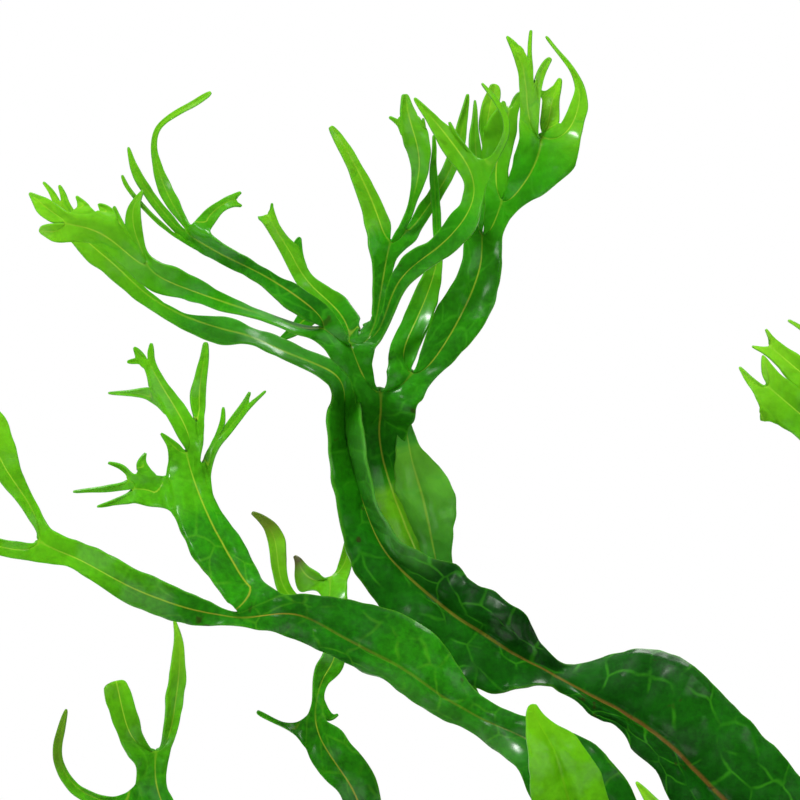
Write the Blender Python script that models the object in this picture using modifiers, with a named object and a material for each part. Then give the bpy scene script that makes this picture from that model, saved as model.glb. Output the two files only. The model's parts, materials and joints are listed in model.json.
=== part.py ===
"""Java fern on driftwood: fork-tipped fronds on a creeping rhizome, tied down by its own roots."""

import math
import random

import bmesh
import bpy
from mathutils import Matrix, Vector, noise

MM = 0.001

# The drawing that the fronds are laid out on: a square grid seen from the front, x right and y down.
GRID = 0.16 * MM            # one step
EYE = 1422.2 * MM           # distance that the drawing is seen from
SHEET_CENTRE = (400, 400)   # the step that the eye looks at
CENTRE_X = -72.0 * MM       # and its place in the part's frame
CENTRE_Z = 159.0 * MM
BLADE_THICK = 0.7 * MM
GAP = 0.3 * MM              # left between pieces that touch
MERGE = 0.001 * MM          # points closer than this are one

# Colours, linear
DARK_GREEN = (0.007, 0.156, 0.003)
MID_GREEN = (0.061, 0.376, 0.005)
BRIGHT_GREEN = (0.102, 0.402, 0.003)
WOOD_BROWN = (0.19, 0.10, 0.055)
RHIZOME_OLIVE = (0.09, 0.13, 0.03)
ROOT_BROWN = (0.05, 0.035, 0.02)
CUTTER_RED = (1, 0, 0)
OLD_FRONDS = ("frond_twisted", "frond_crested")
YOUNG_FRONDS = ("frond_young",)
WET_ROUGHNESS = 0.35
STEM_ROUGHNESS = 0.6
WOOD_ROUGHNESS = 0.8
FELT_ROUGHNESS = 0.9

# Rhizome
RHIZOME_RADIUS = 3.5 * MM
RHIZOME_TOP = 57.9 * MM
FROND_FOOT = RHIZOME_TOP + GAP

# Each frond is a list of ribbons: a name, what it grows from, and its stations from foot to tip.
# A station is x, y and depth of the midrib, then the blade's reach to the left and to the right of it
# as the drawing shows them, and, where the blade leans, how far back its left and right edges stand.
# A ribbon grows from a whole end ("end"), from its left or right half ("end_l", "end_r"), or from a
# side between two stations ("l3" is the left side after the third station).
FRONDS = {
    "frond_twisted": [
        ("blade", None, [
            (960, 1030, 0, 7, 7), (938, 995, -3, 7, 7), (908, 966, -6, 9, 9), (872, 938, -8, 20, 24),
            (835, 908, -10, 34, 44), (796, 876, -10, 42, 62), (755, 838, -8, 42, 76, -12, 12),
            (712, 800, -5, 36, 80, -14, 16), (690, 780, -4, 30, 82, -16, 18),
            (655, 750, -2, 14, 88, -20, 22), (620, 730, 0, -13, 92, -24, 24),
            (600, 716, 0, -15, 77, -24, 26), (577, 701, 0, -14, 53, -26, 34),
            (563, 689, -4, -8, 33, -34, 40), (554, 679, -10, 4, 14, -38, 38),
            (540, 668, -20, 20, 17, -30, 26), (520, 655, -26, 40, 28, -20, 14),
            (498, 641, -30, 56, 38, -14, 12), (460, 616, -30, 54, 35, -10, 6),
            (425, 590, -28, 44, 33, -10, 6), (403, 567, -24, 42, 22, -14, -4),
            (385, 545, -20, 37, 13, -20, -20), (371, 515, -16, 30, 10, -26, -26),
            (358, 480, -13, 25, 13, -28, -28), (347, 443, -11, 20, 16, -28, -28),
            (344, 415, -10, 18, 17, -26, -24), (345, 392, 10, 14, 14, -20, -10),
            (336, 376, 14, 9, 16, -12, 10), (315, 366, 16, 9, 16, -10, 10),
            (290, 358, 18, 4, 11, -18, 12), (270, 350, 20, 3, 14, -18, 12),
            (250, 338, 22, 4, 6, -18, 18), (233, 334, 24, 10, 15, -8, 8),
            (215, 328, 26, 13, 13), (190, 318, 28, 13, 5), (163, 305, 28, 11, 2),
            (140, 288, 28, 12, 4), (115, 265, 28, 13, 8), (92, 246, 26, 14, 8),
            (72, 226, 24, 11, 8), (61, 205, 22, 6, 6)]),
        ("crook", "blade end_l", [(52, 191, 22, 3, 2), (43, 180, 22, 0, 0)]),
        ("thumb", "blade end_r", [(61, 194, 22, 2, 2), (59, 184, 22, 0, 0)]),
    ],
    "frond_crested": [
        ("stem", None, [
            (930, 1030, 12, 6, 6), (905, 1005, 30, 6, 6), (860, 968, 52, 6, 6), (800, 925, 60, 6, 6),
            (720, 880, 60, 6, 6), (650, 842, 58, 6, 6), (600, 812, 56, 6, 6), (565, 788, 55, 6, 6),
            (530, 760, 54, 6, 6), (498, 732, 53, 6, 6), (475, 703, 52, 6, 6), (461, 670, 50, 7, 7),
            (451, 635, 48, 9, 9), (441, 600, 44, 14, 14)]),
        ("blade", "stem end_l", [
            (424, 570, 40, 18, 11), (415, 545, 37, 32, 14), (405, 518, 34, 38, 18),
            (394, 490, 30, 36, 20), (384, 460, 26, 34, 20), (376, 432, 20, 14, 26),
            (374, 412, 4, 9, 34), (383, 396, -18, 18, 31)]),
        ("flap", "stem end_r", [
            (436, 562, 34, 10, 16), (433, 540, 26, 18, 20, 10, -10), (428, 517, 20, 26, 27, 12, -12),
            (422, 493, 16, 26, 34, 12, -14), (415, 468, 14, 23, 28, 8, -10),
            (410, 447, 12, 14, 8), (406, 431, 10, 9, 6), (404, 416, 8, 8, 8)]),
        ("shoulder", "blade end_l", [(361, 372, -32, 11, 10), (352, 353, -38, 21, 21)]),
        ("arm", "shoulder end_l", [(330, 330, -42, 17, 16)]),
        ("reach", "arm end_r", [
            (312, 309, -42, 14, 14), (290, 292, -41, 15, 9), (268, 278, -40, 10, 7),
            (245, 265, -39, 9, 8), (222, 253, -38, 11, 8), (203, 242, -37, 10, 9),
            (188, 234, -36, 7, 7)]),
        ("hook", "reach r6", [(205, 222, -33, 9, 9), (213, 211, -29, 7, 8), (224, 204, -26, 5, 5),
                              (232, 199, -24, 6, 6)]),
        ("hook_upper", "hook end_l", [(241, 192, -24, 0, 0)]),
        ("hook_lower", "hook end_r", [(242, 206, -24, 0, 0)]),
        ("plume", "reach end_r", [
            (184, 221, -32, 3, 3), (174, 207, -26, 6, 6), (165, 190, -20, 7, 7), (159, 170, -18, 5, 5),
            (155, 149, -16, 2, 2), (156, 133, -16, 2, 2), (161, 121, -16, 2, 2), (177, 111, -16, 3, 3),
            (195, 101, -16, 3, 3), (211, 91, -16, 0, 0)]),
        ("spear", "reach end_l", [
            (172, 226, -38, 5, 5), (156, 205, -40, 5, 5), (144, 187, -42, 5, 5), (135, 170, -42, 4, 4),
            (128, 147, -42, 0, 0)]),
        ("whip", "reach l6", [
            (172, 238, -46, 2, 2), (150, 217, -52, 2, 2), (134, 199, -54, 2, 2), (125, 185, -54, 2, 2),
            (122, 175, -54, 0, 0)]),
        ("drape", "arm end_l", [
            (302, 330, -50, 3, 3, -16, 16), (272, 319, -54, 3, 3, -16, 16),
            (246, 310, -56, 5, 5, -12, 12), (222, 302, -58, 8, 9, -6, 6), (195, 291, -60, 11, 11),
            (170, 282, -61, 13, 13), (151, 271, -62, 12, 8)]),
        ("flame", "drape end_r", [
            (142, 251, -58, 8, 5), (134, 231, -58, 9, 10), (132, 213, -58, 7, 8), (136, 201, -58, 4, 4),
            (143, 190, -58, 0, 0)]),
        ("hand", "drape end_l", [
            (127, 252, -64, 10, 12), (108, 236, -66, 11, 16), (90, 226, -66, 16, 15),
            (70, 222, -66, 18, 8)]),
        ("palm_low", "hand end_l", [(54, 229, -60, 9, 6), (40, 227, -60, 0, 0)]),
        ("palm_high", "hand end_r", [(56, 213, -60, 7, 7), (44, 204, -60, 6, 6), (36, 197, -60, 4, 3),
                                     (29, 193, -60, 0, 0)]),
        ("knuckle_first", "hand r3", [(84, 206, -58, 5, 5), (76, 196, -58, 0, 0)]),
        ("knuckle_second", "hand r2", [(108, 211, -56, 7, 8), (97, 202, -56, 0, 0)]),
        ("rise", "shoulder end_r", [(366, 344, -26, 12, 9)]),
        ("stalk", "rise end_l", [
            (375, 324, -6, 4, 6), (378, 303, 2, 5, 6), (383, 275, 10, 10, 8), (388, 246, 16, 19, 14)]),
        ("fan", "stalk l0", [
            (349, 319, 8, 13, 9), (334, 302, 34, 12, 11), (317, 289, 50, 11, 8), (303, 272, 54, 8, 8),
            (292, 250, 58, 9, 9), (279, 232, 60, 8, 6)]),
        ("fan_low", "fan end_l", [(267, 224, 60, 3, 3), (257, 218, 60, 0, 0)]),
        ("fan_high", "fan end_r", [(277, 220, 60, 4, 4), (272, 203, 60, 0, 0)]),
        ("fan_drop", "fan l2", [(306, 318, 60, 9, 8), (294, 331, 60, 7, 6), (279, 340, 60, 0, 0)]),
        ("blade_left", "stalk end_l", [
            (380, 226, 18, 15, 9), (368, 197, 22, 10, 10), (352, 165, 26, 7, 7), (341, 145, 28, 6, 6),
            (334, 133, 28, 4, 4), (330, 126, 28, 0, 0)]),
        ("neck", "stalk end_r", [(402, 235, 18, 5, 7)]),
        ("blade_middle", "neck end_l", [
            (410, 214, 14, 3, 3), (414, 195, 12, 4, 4), (421, 171, 10, 9, 9), (419, 150, 8, 12, 12),
            (412, 131, 8, 12, 12), (408, 115, 8, 8, 7), (405, 103, 8, 4, 4), (405, 93, 8, 0, 0)]),
        ("barb", "blade_middle l5", [(397, 122, 8, 3, 3), (389, 116, 8, 0, 0)]),
        ("blade_right", "neck end_r", [
            (417, 222, 30, 8, 8), (435, 198, 40, 9, 8), (448, 176, 46, 8, 8), (458, 150, 50, 8, 8),
            (462, 125, 50, 5, 5), (466, 108, 50, 3, 3), (468, 94, 50, 0, 0)]),
        ("sash", "rise end_r", [
            (381, 330, -28, 4, 5), (389, 305, -30, 5, 8), (398, 282, -32, 10, 8),
            (415, 264, -34, 16, 13), (436, 249, -36, 9, 11), (455, 232, -40, 12, 18),
            (470, 212, -42, 10, 13), (476, 190, -42, 10, 8), (469, 168, -40, 9, 11),
            (456, 149, -38, 13, 8), (442, 130, -36, 9, 7), (430, 115, -36, 6, 5),
            (422, 106, -36, 4, 4), (414, 98, -36, 0, 0)]),
        ("lash", "sash r8", [
            (495, 158, -46, 3, 3), (505, 140, -48, 3, 3), (508, 125, -48, 3, 3), (503, 110, -48, 3, 3),
            (492, 95, -48, 2, 2), (482, 83, -48, 0, 0)]),
        ("crook", "blade end_r", [(411, 379, -18, 25, 21)]),
        ("tongue", "crook end_l", [
            (402, 355, -8, 13, 13), (412, 331, 4, 14, 15), (424, 303, 14, 13, 14),
            (432, 280, 18, 11, 10), (438, 258, 18, 5, 5), (438, 240, 18, 4, 4), (436, 210, 20, 4, 4),
            (435, 185, 22, 5, 4), (433, 165, 24, 3, 3), (435, 150, 26, 2, 2), (434, 135, 26, 0, 0)]),
        ("sail", "crook end_r", [
            (431, 364, -16, 13, 14), (448, 340, -12, 22, 20), (462, 314, -8, 25, 25),
            (473, 287, -4, 20, 26), (481, 262, 0, 18, 22), (482, 240, 4, 18, 18)]),
        ("tuft", "sail end_l", [
            (477, 222, 16, 8, 7), (479, 195, 24, 8, 7), (477, 165, 26, 6, 6), (473, 140, 26, 5, 5),
            (472, 120, 26, 3, 3), (474, 101, 26, 0, 0)]),
        ("mast", "sail end_r", [(492, 227, 4, 7, 9), (501, 205, 4, 14, 12)]),
        ("crown", "mast end_r", [(514, 196, 0, 10, 12), (528, 178, -2, 18, 20), (542, 147, -2, 21, 35)]),
        ("sickle", "crown end_r", [
            (568, 137, 0, 11, 12), (578, 112, 2, 8, 8), (581, 95, 4, 7, 7), (576, 79, 6, 4, 4),
            (568, 64, 6, 3, 3), (557, 50, 6, 2, 2), (545, 35, 6, 0, 0)]),
        ("horn", "crown end_l", [
            (529, 118, -6, 8, 8), (528, 91, -8, 7, 7), (524, 67, -10, 6, 6), (516, 49, -10, 4, 4),
            (507, 36, -10, 0, 0)]),
        ("horn_tine", "horn r2", [(530, 52, -8, 2, 3), (531, 30, -8, 0, 0)]),
        ("horn_spur", "horn r1", [(541, 81, -4, 4, 5), (546, 69, -4, 3, 4), (551, 57, -4, 0, 0)]),
        ("veil", "sickle l0", [(549, 118, 14, 9, 7), (555, 100, 18, 5, 5), (560, 77, 20, 0, 0)]),
        ("lobe", "mast end_l", [
            (497, 185, 14, 10, 10), (500, 160, 20, 10, 11), (505, 135, 24, 9, 9), (510, 112, 26, 9, 9)]),
        ("lobe_left", "lobe end_l", [(500, 106, 26, 0, 0)]),
        ("lobe_right", "lobe end_r", [(521, 91, 26, 0, 0)]),
        ("bud", "lobe l2", [(486, 125, 34, 9, 9), (489, 105, 36, 8, 8), (494, 92, 36, 6, 6),
                            (496, 83, 36, 0, 0)]),
    ],
    "frond_reaching": [
        ("blade", None, [
            (690, 1030, -10, 6, 6), (688, 1000, -22, 6, 6), (680, 960, -50, 7, 7),
            (664, 918, -88, 12, 12), (642, 878, -120, 26, 26), (612, 835, -142, 42, 42),
            (577, 790, -148, 46, 46), (552, 754, -148, 38, 32), (520, 733, -146, 28, 18),
            (487, 722, -143, 14, 20, 12, 0), (462, 709, -141, 12, 24, 18, 0),
            (438, 700, -139, 12, 40, 22, 4), (412, 684, -138, 12, 54, 24, 8),
            (385, 668, -136, 12, 54, 24, 10), (355, 653, -134, 12, 50, 22, 8),
            (330, 636, -133, 16, 42, 14, 4), (308, 616, -132, 26, 25, 4, 0),
            (283, 609, -131, 23, 13), (243, 619, -130, 7, 5), (222, 614, -130, 9, 7),
            (198, 609, -130, 16, 13), (165, 599, -130, 17, 17), (130, 586, -130, 15, 19),
            (98, 571, -130, 14, 19), (73, 557, -130, 10, 16), (44, 545, -130, 18, 14)]),
        ("arm_up", "blade end_r", [
            (35, 514, -130, 7, 7), (20, 490, -130, 8, 8), (4, 468, -130, 12, 14),
            (-10, 438, -130, 16, 20), (-24, 408, -130, 18, 18)]),
        ("arm_up_left", "arm_up end_l", [(-48, 384, -130, 8, 8), (-70, 352, -132, 5, 5),
                                         (-84, 318, -134, 0, 0)]),
        ("arm_up_right", "arm_up end_r", [(-26, 376, -128, 8, 8), (-30, 342, -126, 5, 5),
                                          (-22, 306, -124, 0, 0)]),
        ("arm_low", "blade end_l", [
            (20, 551, -130, 9, 9), (-4, 546, -130, 7, 7), (-34, 538, -130, 12, 12),
            (-62, 530, -132, 12, 12)]),
        ("arm_low_left", "arm_low end_l", [(-92, 534, -134, 5, 5), (-118, 528, -136, 0, 0)]),
        ("arm_low_right", "arm_low end_r", [(-84, 506, -130, 5, 5), (-104, 478, -128, 0, 0)]),
        ("plume", "blade r17", [
            (250, 590, -116, 20, 14), (238, 568, -104, 24, 18), (225, 545, -92, 29, 18),
            (214, 522, -82, 29, 12), (205, 499, -74, 30, 7), (194, 470, -68, 22, 11),
            (190, 456, -66, 20, 14)]),
        ("notch", "plume end_l", [(172, 446, -70, 5, 5), (162, 434, -70, 0, 0)]),
        ("spire", "plume end_r", [
            (189, 435, -66, 12, 13), (176, 410, -64, 13, 12), (160, 384, -62, 12, 9),
            (148, 362, -60, 8, 8)]),
        ("spire_left", "spire end_l", [(138, 355, -60, 4, 4), (133, 346, -60, 0, 0)]),
        ("spire_right", "spire end_r", [(152, 354, -60, 3, 3), (152, 342, -60, 0, 0)]),
        ("spire_arm", "spire l2", [(146, 394, -64, 7, 7), (128, 393, -66, 2, 2), (108, 393, -66, 0, 0)]),
        ("side_blade", "spire r0", [
            (197, 408, -54, 9, 9), (200, 380, -50, 6, 6), (204, 358, -48, 4, 4), (207, 339, -48, 0, 0)]),
        ("twig", "plume r5", [(209, 457, -60, 3, 3), (216, 440, -58, 5, 6)]),
        ("twig_left", "twig end_l", [(219, 425, -58, 3, 3), (222, 406, -58, 0, 0)]),
        ("twig_right", "twig end_r", [(231, 428, -56, 6, 5), (246, 408, -56, 5, 4)]),
        ("twig_tip", "twig_right end_l", [(250, 392, -56, 0, 0)]),
        ("twig_end", "twig_right end_r", [(266, 391, -56, 0, 0)]),
        ("fan", "plume l5", [(155, 491, -74, 17, 17), (135, 488, -78, 16, 15)]),
        ("fan_thumb", "fan r1", [(143, 463, -76, 4, 4), (147, 452, -76, 0, 0)]),
        ("fan_low", "fan end_l", [(118, 502, -80, 3, 3), (97, 507, -80, 0, 0)]),
        ("fan_high", "fan end_r", [(124, 481, -80, 6, 8)]),
        ("fan_long", "fan_high end_l", [(98, 489, -82, 2, 2), (73, 492, -82, 0, 0)]),
        ("fan_short", "fan_high end_r", [(108, 463, -80, 0, 0)]),
    ],
    "frond_curled": [
        ("blade", None, [
            (420, 1030, -6, 6, 6), (420, 990, -14, 6, 6), (412, 940, -28, 8, 8), (399, 895, -38, 13, 13),
            (381, 850, -44, 18, 20), (362, 810, -46, 18, 20), (350, 786, -46, 18, 22),
            (335, 763, -44, 18, 20), (318, 741, -42, 14, 15), (314, 718, -38, 10, 13),
            (317, 696, -34, 4, 5), (322, 678, -30, 9, 7), (333, 664, -26, 11, 9),
            (338, 642, -16, 12, 12), (330, 616, 0, 22, 20)]),
        ("tooth", "blade l8", [(284, 723, -38, 4, 4), (269, 716, -38, 4, 4), (256, 711, -38, 0, 0)]),
        ("finger_left", "blade end_l", [
            (288, 598, 8, 8, 8), (280, 566, 12, 8, 7), (276, 543, 14, 9, 9), (267, 525, 14, 6, 6),
            (252, 511, 14, 0, 0)]),
        ("finger_right", "blade end_r", [(331, 582, 30, 13, 13)]),
        ("finger_tip", "finger_right end_l", [(310, 574, 34, 6, 5), (295, 557, 34, 0, 0)]),
        ("finger_end", "finger_right end_r", [(345, 568, 52, 7, 7), (350, 542, 60, 5, 5),
                                              (352, 520, 62, 0, 0)]),
    ],
    "frond_low": [
        ("blade", None, [
            (240, 1030, 0, 6, 6), (240, 985, -8, 6, 6), (229, 930, -16, 8, 8), (209, 875, -24, 12, 12),
            (187, 838, -28, 14, 12), (165, 808, -30, 24, 8), (154, 781, -30, 11, 11),
            (157, 759, -30, 27, 10)]),
        ("lobe_cut", "blade end_l", [(133, 737, -32, 13, 13), (125, 710, -34, 13, 13),
                                     (116, 683, -36, 14, 13)]),
        ("lobe_tall", "blade end_r", [
            (168, 735, -28, 6, 6), (171, 705, -26, 9, 10), (176, 680, -24, 9, 9), (178, 650, -22, 6, 6),
            (176, 634, -22, 3, 3), (173, 619, -22, 0, 0)]),
        ("sickle", "blade l5", [
            (118, 804, -32, 8, 8), (90, 797, -34, 8, 7), (68, 780, -36, 6, 6), (57, 757, -38, 5, 5),
            (61, 735, -40, 4, 4), (66, 709, -42, 0, 0)]),
    ],
    "frond_young": [
        ("blade", None, [
            (600, 1030, -12, 6, 6), (601, 1004, -40, 6, 6), (600, 966, -90, 10, 10),
            (597, 925, -140, 22, 22), (590, 880, -185, 32, 32), (580, 840, -218, 38, 38),
            (568, 800, -242, 40, 41), (560, 768, -254, 35, 36), (551, 745, -260, 26, 28),
            (540, 723, -264, 15, 13), (534, 709, -266, 8, 7), (534, 703, -266, 0, 0)]),
    ],
    "frond_finger": [
        ("blade", None, [
            (760, 1030, -12, 5, 5), (754, 990, -50, 5, 5), (734, 935, -110, 8, 8),
            (700, 872, -160, 11, 11), (662, 816, -190, 9, 9), (646, 794, -198, 5, 4),
            (636, 782, -200, 0, 0)]),
    ],
    "frond_right_crown": [
        ("blade", None, [
            (1010, 1030, 8, 6, 6), (1008, 985, 20, 7, 7), (996, 920, 36, 16, 16),
            (978, 840, 50, 34, 36), (955, 760, 58, 46, 48), (930, 680, 62, 48, 50),
            (903, 600, 62, 42, 44), (876, 530, 62, 32, 34), (853, 480, 62, 24, 26),
            (838, 446, 62, 24, 26)]),
        ("hand", "blade end_l", [(815, 425, 60, 18, 16), (790, 405, 56, 21, 20), (771, 390, 54, 20, 17)]),
        ("hand_left", "hand end_l", [(752, 383, 52, 5, 4), (739, 367, 52, 0, 0)]),
        ("hand_right", "hand end_r", [(767, 371, 54, 5, 5), (763, 355, 54, 0, 0)]),
        ("hand_tooth", "hand l2", [(761, 420, 56, 0, 0)]),
        ("top", "blade end_r", [(838, 412, 66, 18, 20)]),
        ("top_left", "top end_l", [(812, 381, 70, 16, 16), (788, 363, 72, 11, 9), (774, 350, 72, 8, 6)]),
        ("top_left_low", "top_left end_l", [(752, 346, 72, 0, 0)]),
        ("top_left_high", "top_left end_r", [(766, 329, 72, 0, 0)]),
        ("top_left_sprig", "top_left r1", [(796, 339, 76, 3, 3), (788, 319, 76, 0, 0)]),
        ("top_right", "top end_r", [(856, 380, 70, 12, 12), (866, 345, 72, 12, 12)]),
        ("top_right_low", "top_right end_l", [(858, 318, 72, 5, 5), (846, 290, 72, 0, 0)]),
        ("top_right_high", "top_right end_r", [(880, 318, 72, 5, 5), (884, 282, 72, 0, 0)]),
    ],
}


def spot(x, y, depth):
    """The place in the part's frame of a point of the drawing, depth steps behind its plane."""
    back = depth * GRID
    step = GRID * (EYE + back) / EYE
    return Vector((CENTRE_X + (x - SHEET_CENTRE[0]) * step, back, CENTRE_Z + (SHEET_CENTRE[1] - y) * step))


def base_of(join, ribbons):
    """The left, middle and right points of an earlier ribbon that a new one grows from."""
    parent, place = join.split()
    rows = ribbons[parent]
    if place == "end":
        return rows[-1]
    if place == "end_l":
        return half_of(rows[-1], 1)
    if place == "end_r":
        return half_of(rows[-1], -1)
    number = int(place[1:])
    if place[0] == "l":
        return [rows[number][0], rows[number][0], rows[number + 1][0]]
    return [rows[number + 1][2], rows[number][2], rows[number][2]]


def rows_of(stations, base):
    """The rows of left, middle and right points, in the drawing's steps, that the stations describe."""
    rows = [base] if base else []
    middles = [station[:2] for station in stations]
    start = [tuple((base[0][i] + base[2][i]) / 2 for i in range(2))] if base else []
    line = start + middles
    for number, station in enumerate(stations):
        at = number + len(start)
        before = Vector(line[max(at - 1, 0)])
        after = Vector(line[min(at + 1, len(line) - 1)])
        along = (after - before).normalized()
        aside = Vector((along.y, -along.x))
        x, y, depth, left, right = station[:5]
        left_back, right_back = station[5:] if len(station) > 5 else (0, 0)
        rows.append([
            (x + aside.x * left, y + aside.y * left, depth + left_back),
            (x, y, depth),
            (x - aside.x * right, y - aside.y * right, depth + right_back),
        ])
    return rows


def drawn_frond(drawing):
    """The rows of every ribbon of a drawn frond, as places in the part's frame."""
    ribbons = {}
    for name, join, stations in drawing:
        base = base_of(join, ribbons) if join else None
        ribbons[name] = rows_of(stations, base)
    return [[[spot(*point) for point in row] for row in rows] for rows in ribbons.values()]


# Fronds of the plant's other side, grown by a rule: the foot along the rhizome and off it, the heading
# (0 is +X, 90 is +Y) and lift at the foot in degrees, blade length and width, how fast it bends over,
# how much it turns about itself in degrees, and a seed for its arms.
GROWN = {
    "frond_right_tall": (38, 1, 30, 82, 100, 18, 0.9, 70, 1),
    "frond_right_front": (54, -1, -40, 72, 96, 19, 1.1, -60, 2),
    "frond_right_back": (66, 1, 76, 72, 88, 18, 1.0, 60, 3),
    "frond_right_high": (80, 0, 12, 80, 96, 19, 1.0, -75, 4),
    "frond_right_low": (96, -1, -34, 52, 74, 17, 1.0, 45, 5),
    "frond_right_end": (107, 1, 24, 48, 66, 16, 0.9, 40, 6),
    "frond_right_leaning": (72, -1, -72, 60, 70, 16, 1.1, 50, 13),
    "frond_far_back": (90, 1, 64, 58, 78, 17, 1.0, -50, 14),
    "frond_middle_tall": (46.5, 1, 66, 74, 88, 17, 0.8, 40, 15),
    "frond_middle_front": (6, -1, -70, 66, 84, 17, 1.1, 50, 7),
    "frond_middle_back": (31.5, 1, 92, 56, 84, 17, 1.1, -40, 8),
    "frond_left_back": (-56, 1, 112, 40, 62, 15, 1.2, 25, 9),
    "frond_left_end": (-84, 1, 150, 36, 56, 14, 1.2, -25, 10),
    "frond_left_front": (-84, -1, -128, 36, 56, 14, 1.2, 25, 11),
    "frond_low_front": (-55, -1, -100, 34, 50, 14, 1.2, -25, 12),
}
PETIOLE = 16 * MM
ARM_SHARE = 0.34            # an arm's length against the blade's
FINGER_SHARE = 0.24
FORK_ANGLE = math.radians(27)
FOOT_REACH = 1.0 * MM       # half width where the petiole leaves the rhizome
PETIOLE_REACHES = (1.0, 1.1, 1.8)               # half widths up the petiole, mm
BLADE_REACHES = (0.62, 0.95, 1.0, 0.9, 0.78)    # and up the rest, as shares of the blade's half width
ARM_REACHES = (0.42, 0.5, 0.4)
FINGER_REACHES = (0.2, 0.13, 0.0)
PETIOLE_FALL = 0.03         # how far each step of a part bends down
BLADE_FALL = 0.17
ARM_FALL = 0.12
FINGER_FALL = 0.1
TWIST_STEPS = 8             # steps that the frond's whole turn is spread over
SWAY = 0.16                 # most that a blade veers at a step, radians
BLADE_WAVE = 1.6 * MM       # how far its edges rise and fall
ARM_SPREAD = 0.3            # how far beside the midrib an arm starts, as a share of the half width
FINGER_SPREAD = 0.15


class Growth:
    """A growing tip: its place, its direction and the direction across the blade."""

    def __init__(self, place, along, across):
        self.place = place.copy()
        self.along = along.normalized()
        self.across = (across - self.along * across.dot(self.along)).normalized()

    def step(self, length, fall, turn, sway=0.0):
        self.along.rotate(Matrix.Rotation(sway, 3, "Z"))
        self.along = (self.along + Vector((0, 0, -fall))).normalized()
        self.across = (self.across - self.along * self.across.dot(self.along)).normalized()
        self.across.rotate(Matrix.Rotation(turn, 3, self.along))
        self.place += self.along * length

    def row(self, reach, wave=0.0):
        over = self.along.cross(self.across) * wave
        left = self.place + self.across * reach + over
        right = self.place - self.across * reach - over
        return [left, self.place.copy(), right]

    def fork(self, angle):
        along = self.along * math.cos(angle) + self.across * math.sin(angle)
        across = self.across * math.cos(angle) - self.along * math.sin(angle)
        return Growth(self.place, along, across)


def grown_frond(foot, aside, heading, lift, length, width, bend, turn, seed):
    """The rows of every ribbon of a frond that grows by rule: a petiole, a blade, two arms, four fingers."""
    chance = random.Random(seed)
    heading = math.radians(heading)
    lift = math.radians(lift)
    out = Vector((math.cos(heading), math.sin(heading), 0))
    along = out * math.cos(lift) + Vector((0, 0, math.sin(lift)))
    start = Vector((foot * MM, aside * MM, FROND_FOOT))
    tip = Growth(start, along, Vector((-out.y, out.x, 0)))
    length *= MM
    half = width * MM / 2
    twist = math.radians(turn) / TWIST_STEPS
    sway = chance.uniform(-SWAY, SWAY)
    rows = [tip.row(FOOT_REACH)]
    for reach in PETIOLE_REACHES:
        tip.step(PETIOLE / len(PETIOLE_REACHES), PETIOLE_FALL * bend, 0)
        rows.append(tip.row(reach * MM))
    for number, reach in enumerate(BLADE_REACHES):
        tip.step(length / len(BLADE_REACHES), BLADE_FALL * bend, twist, sway)
        rows.append(tip.row(half * reach, BLADE_WAVE * (-1) ** number))
    ribbons = [rows]
    for side in (1, -1):
        arm_rows = [half_of(rows[-1], side)]
        arm = tip.fork(side * FORK_ANGLE * chance.uniform(0.75, 1.15))
        arm.place += arm.across * side * half * ARM_SPREAD
        arm_length = length * ARM_SHARE * chance.uniform(0.8, 1.2)
        for reach in ARM_REACHES:
            arm.step(arm_length / len(ARM_REACHES), ARM_FALL * bend * chance.uniform(0.3, 1.4), twist * side)
            arm_rows.append(arm.row(half * reach))
        ribbons.append(arm_rows)
        for way in (1, -1):
            finger = arm.fork(way * FORK_ANGLE * chance.uniform(0.6, 1.2))
            finger_rows = [half_of(arm_rows[-1], way)]
            finger.place += finger.across * way * half * FINGER_SPREAD
            step = length * FINGER_SHARE * chance.uniform(0.7, 1.25) / len(FINGER_REACHES)
            for reach in FINGER_REACHES:
                finger.step(step, FINGER_FALL * bend * chance.uniform(-0.6, 1.0), 0)
                finger_rows.append(finger.row(half * reach))
            ribbons.append(finger_rows)
    return ribbons


def half_of(row, side):
    """A base row on the left half (side 1) or the right half (side -1) of another row."""
    left, middle, right = row
    return [left, middle, middle] if side > 0 else [middle, middle, right]


def collection(name):
    made = bpy.data.collections.new(name)
    bpy.context.scene.collection.children.link(made)
    return made


def paint(name, colour, roughness):
    made = bpy.data.materials.new(name)
    made.use_nodes = True
    shader = made.node_tree.nodes["Principled BSDF"]
    shader.inputs["Base Color"].default_value = (*colour, 1)
    shader.inputs["Roughness"].default_value = roughness
    return made


def object_from(bm, name, home, colour, roughness):
    mesh = bpy.data.meshes.new(name)
    bm.to_mesh(mesh)
    bm.free()
    made = bpy.data.objects.new(name, mesh)
    home.objects.link(made)
    mesh.materials.append(paint(name, colour, roughness))
    return made


def sheet(ribbons):
    """An open surface three points wide along every ribbon, with the ribbons joined where they fork."""
    bm = bmesh.new()
    for rows in ribbons:
        grid = bmesh.ops.create_grid(bm, x_segments=2, y_segments=len(rows) - 1, size=1)["verts"]
        for vert, place in zip(grid, (point for row in rows for point in row)):
            vert.co = place
    bmesh.ops.remove_doubles(bm, verts=bm.verts, dist=MERGE)
    return bm


def make_frond(name, ribbons, home):
    colour = MID_GREEN
    if name in OLD_FRONDS:
        colour = DARK_GREEN
    if name in YOUNG_FRONDS:
        colour = BRIGHT_GREEN
    frond = object_from(sheet(ribbons), name, home, colour, WET_ROUGHNESS)
    shell = frond.modifiers.new("thickness", "SOLIDIFY")
    shell.thickness = BLADE_THICK
    shell.offset = 0
    return frond


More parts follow.
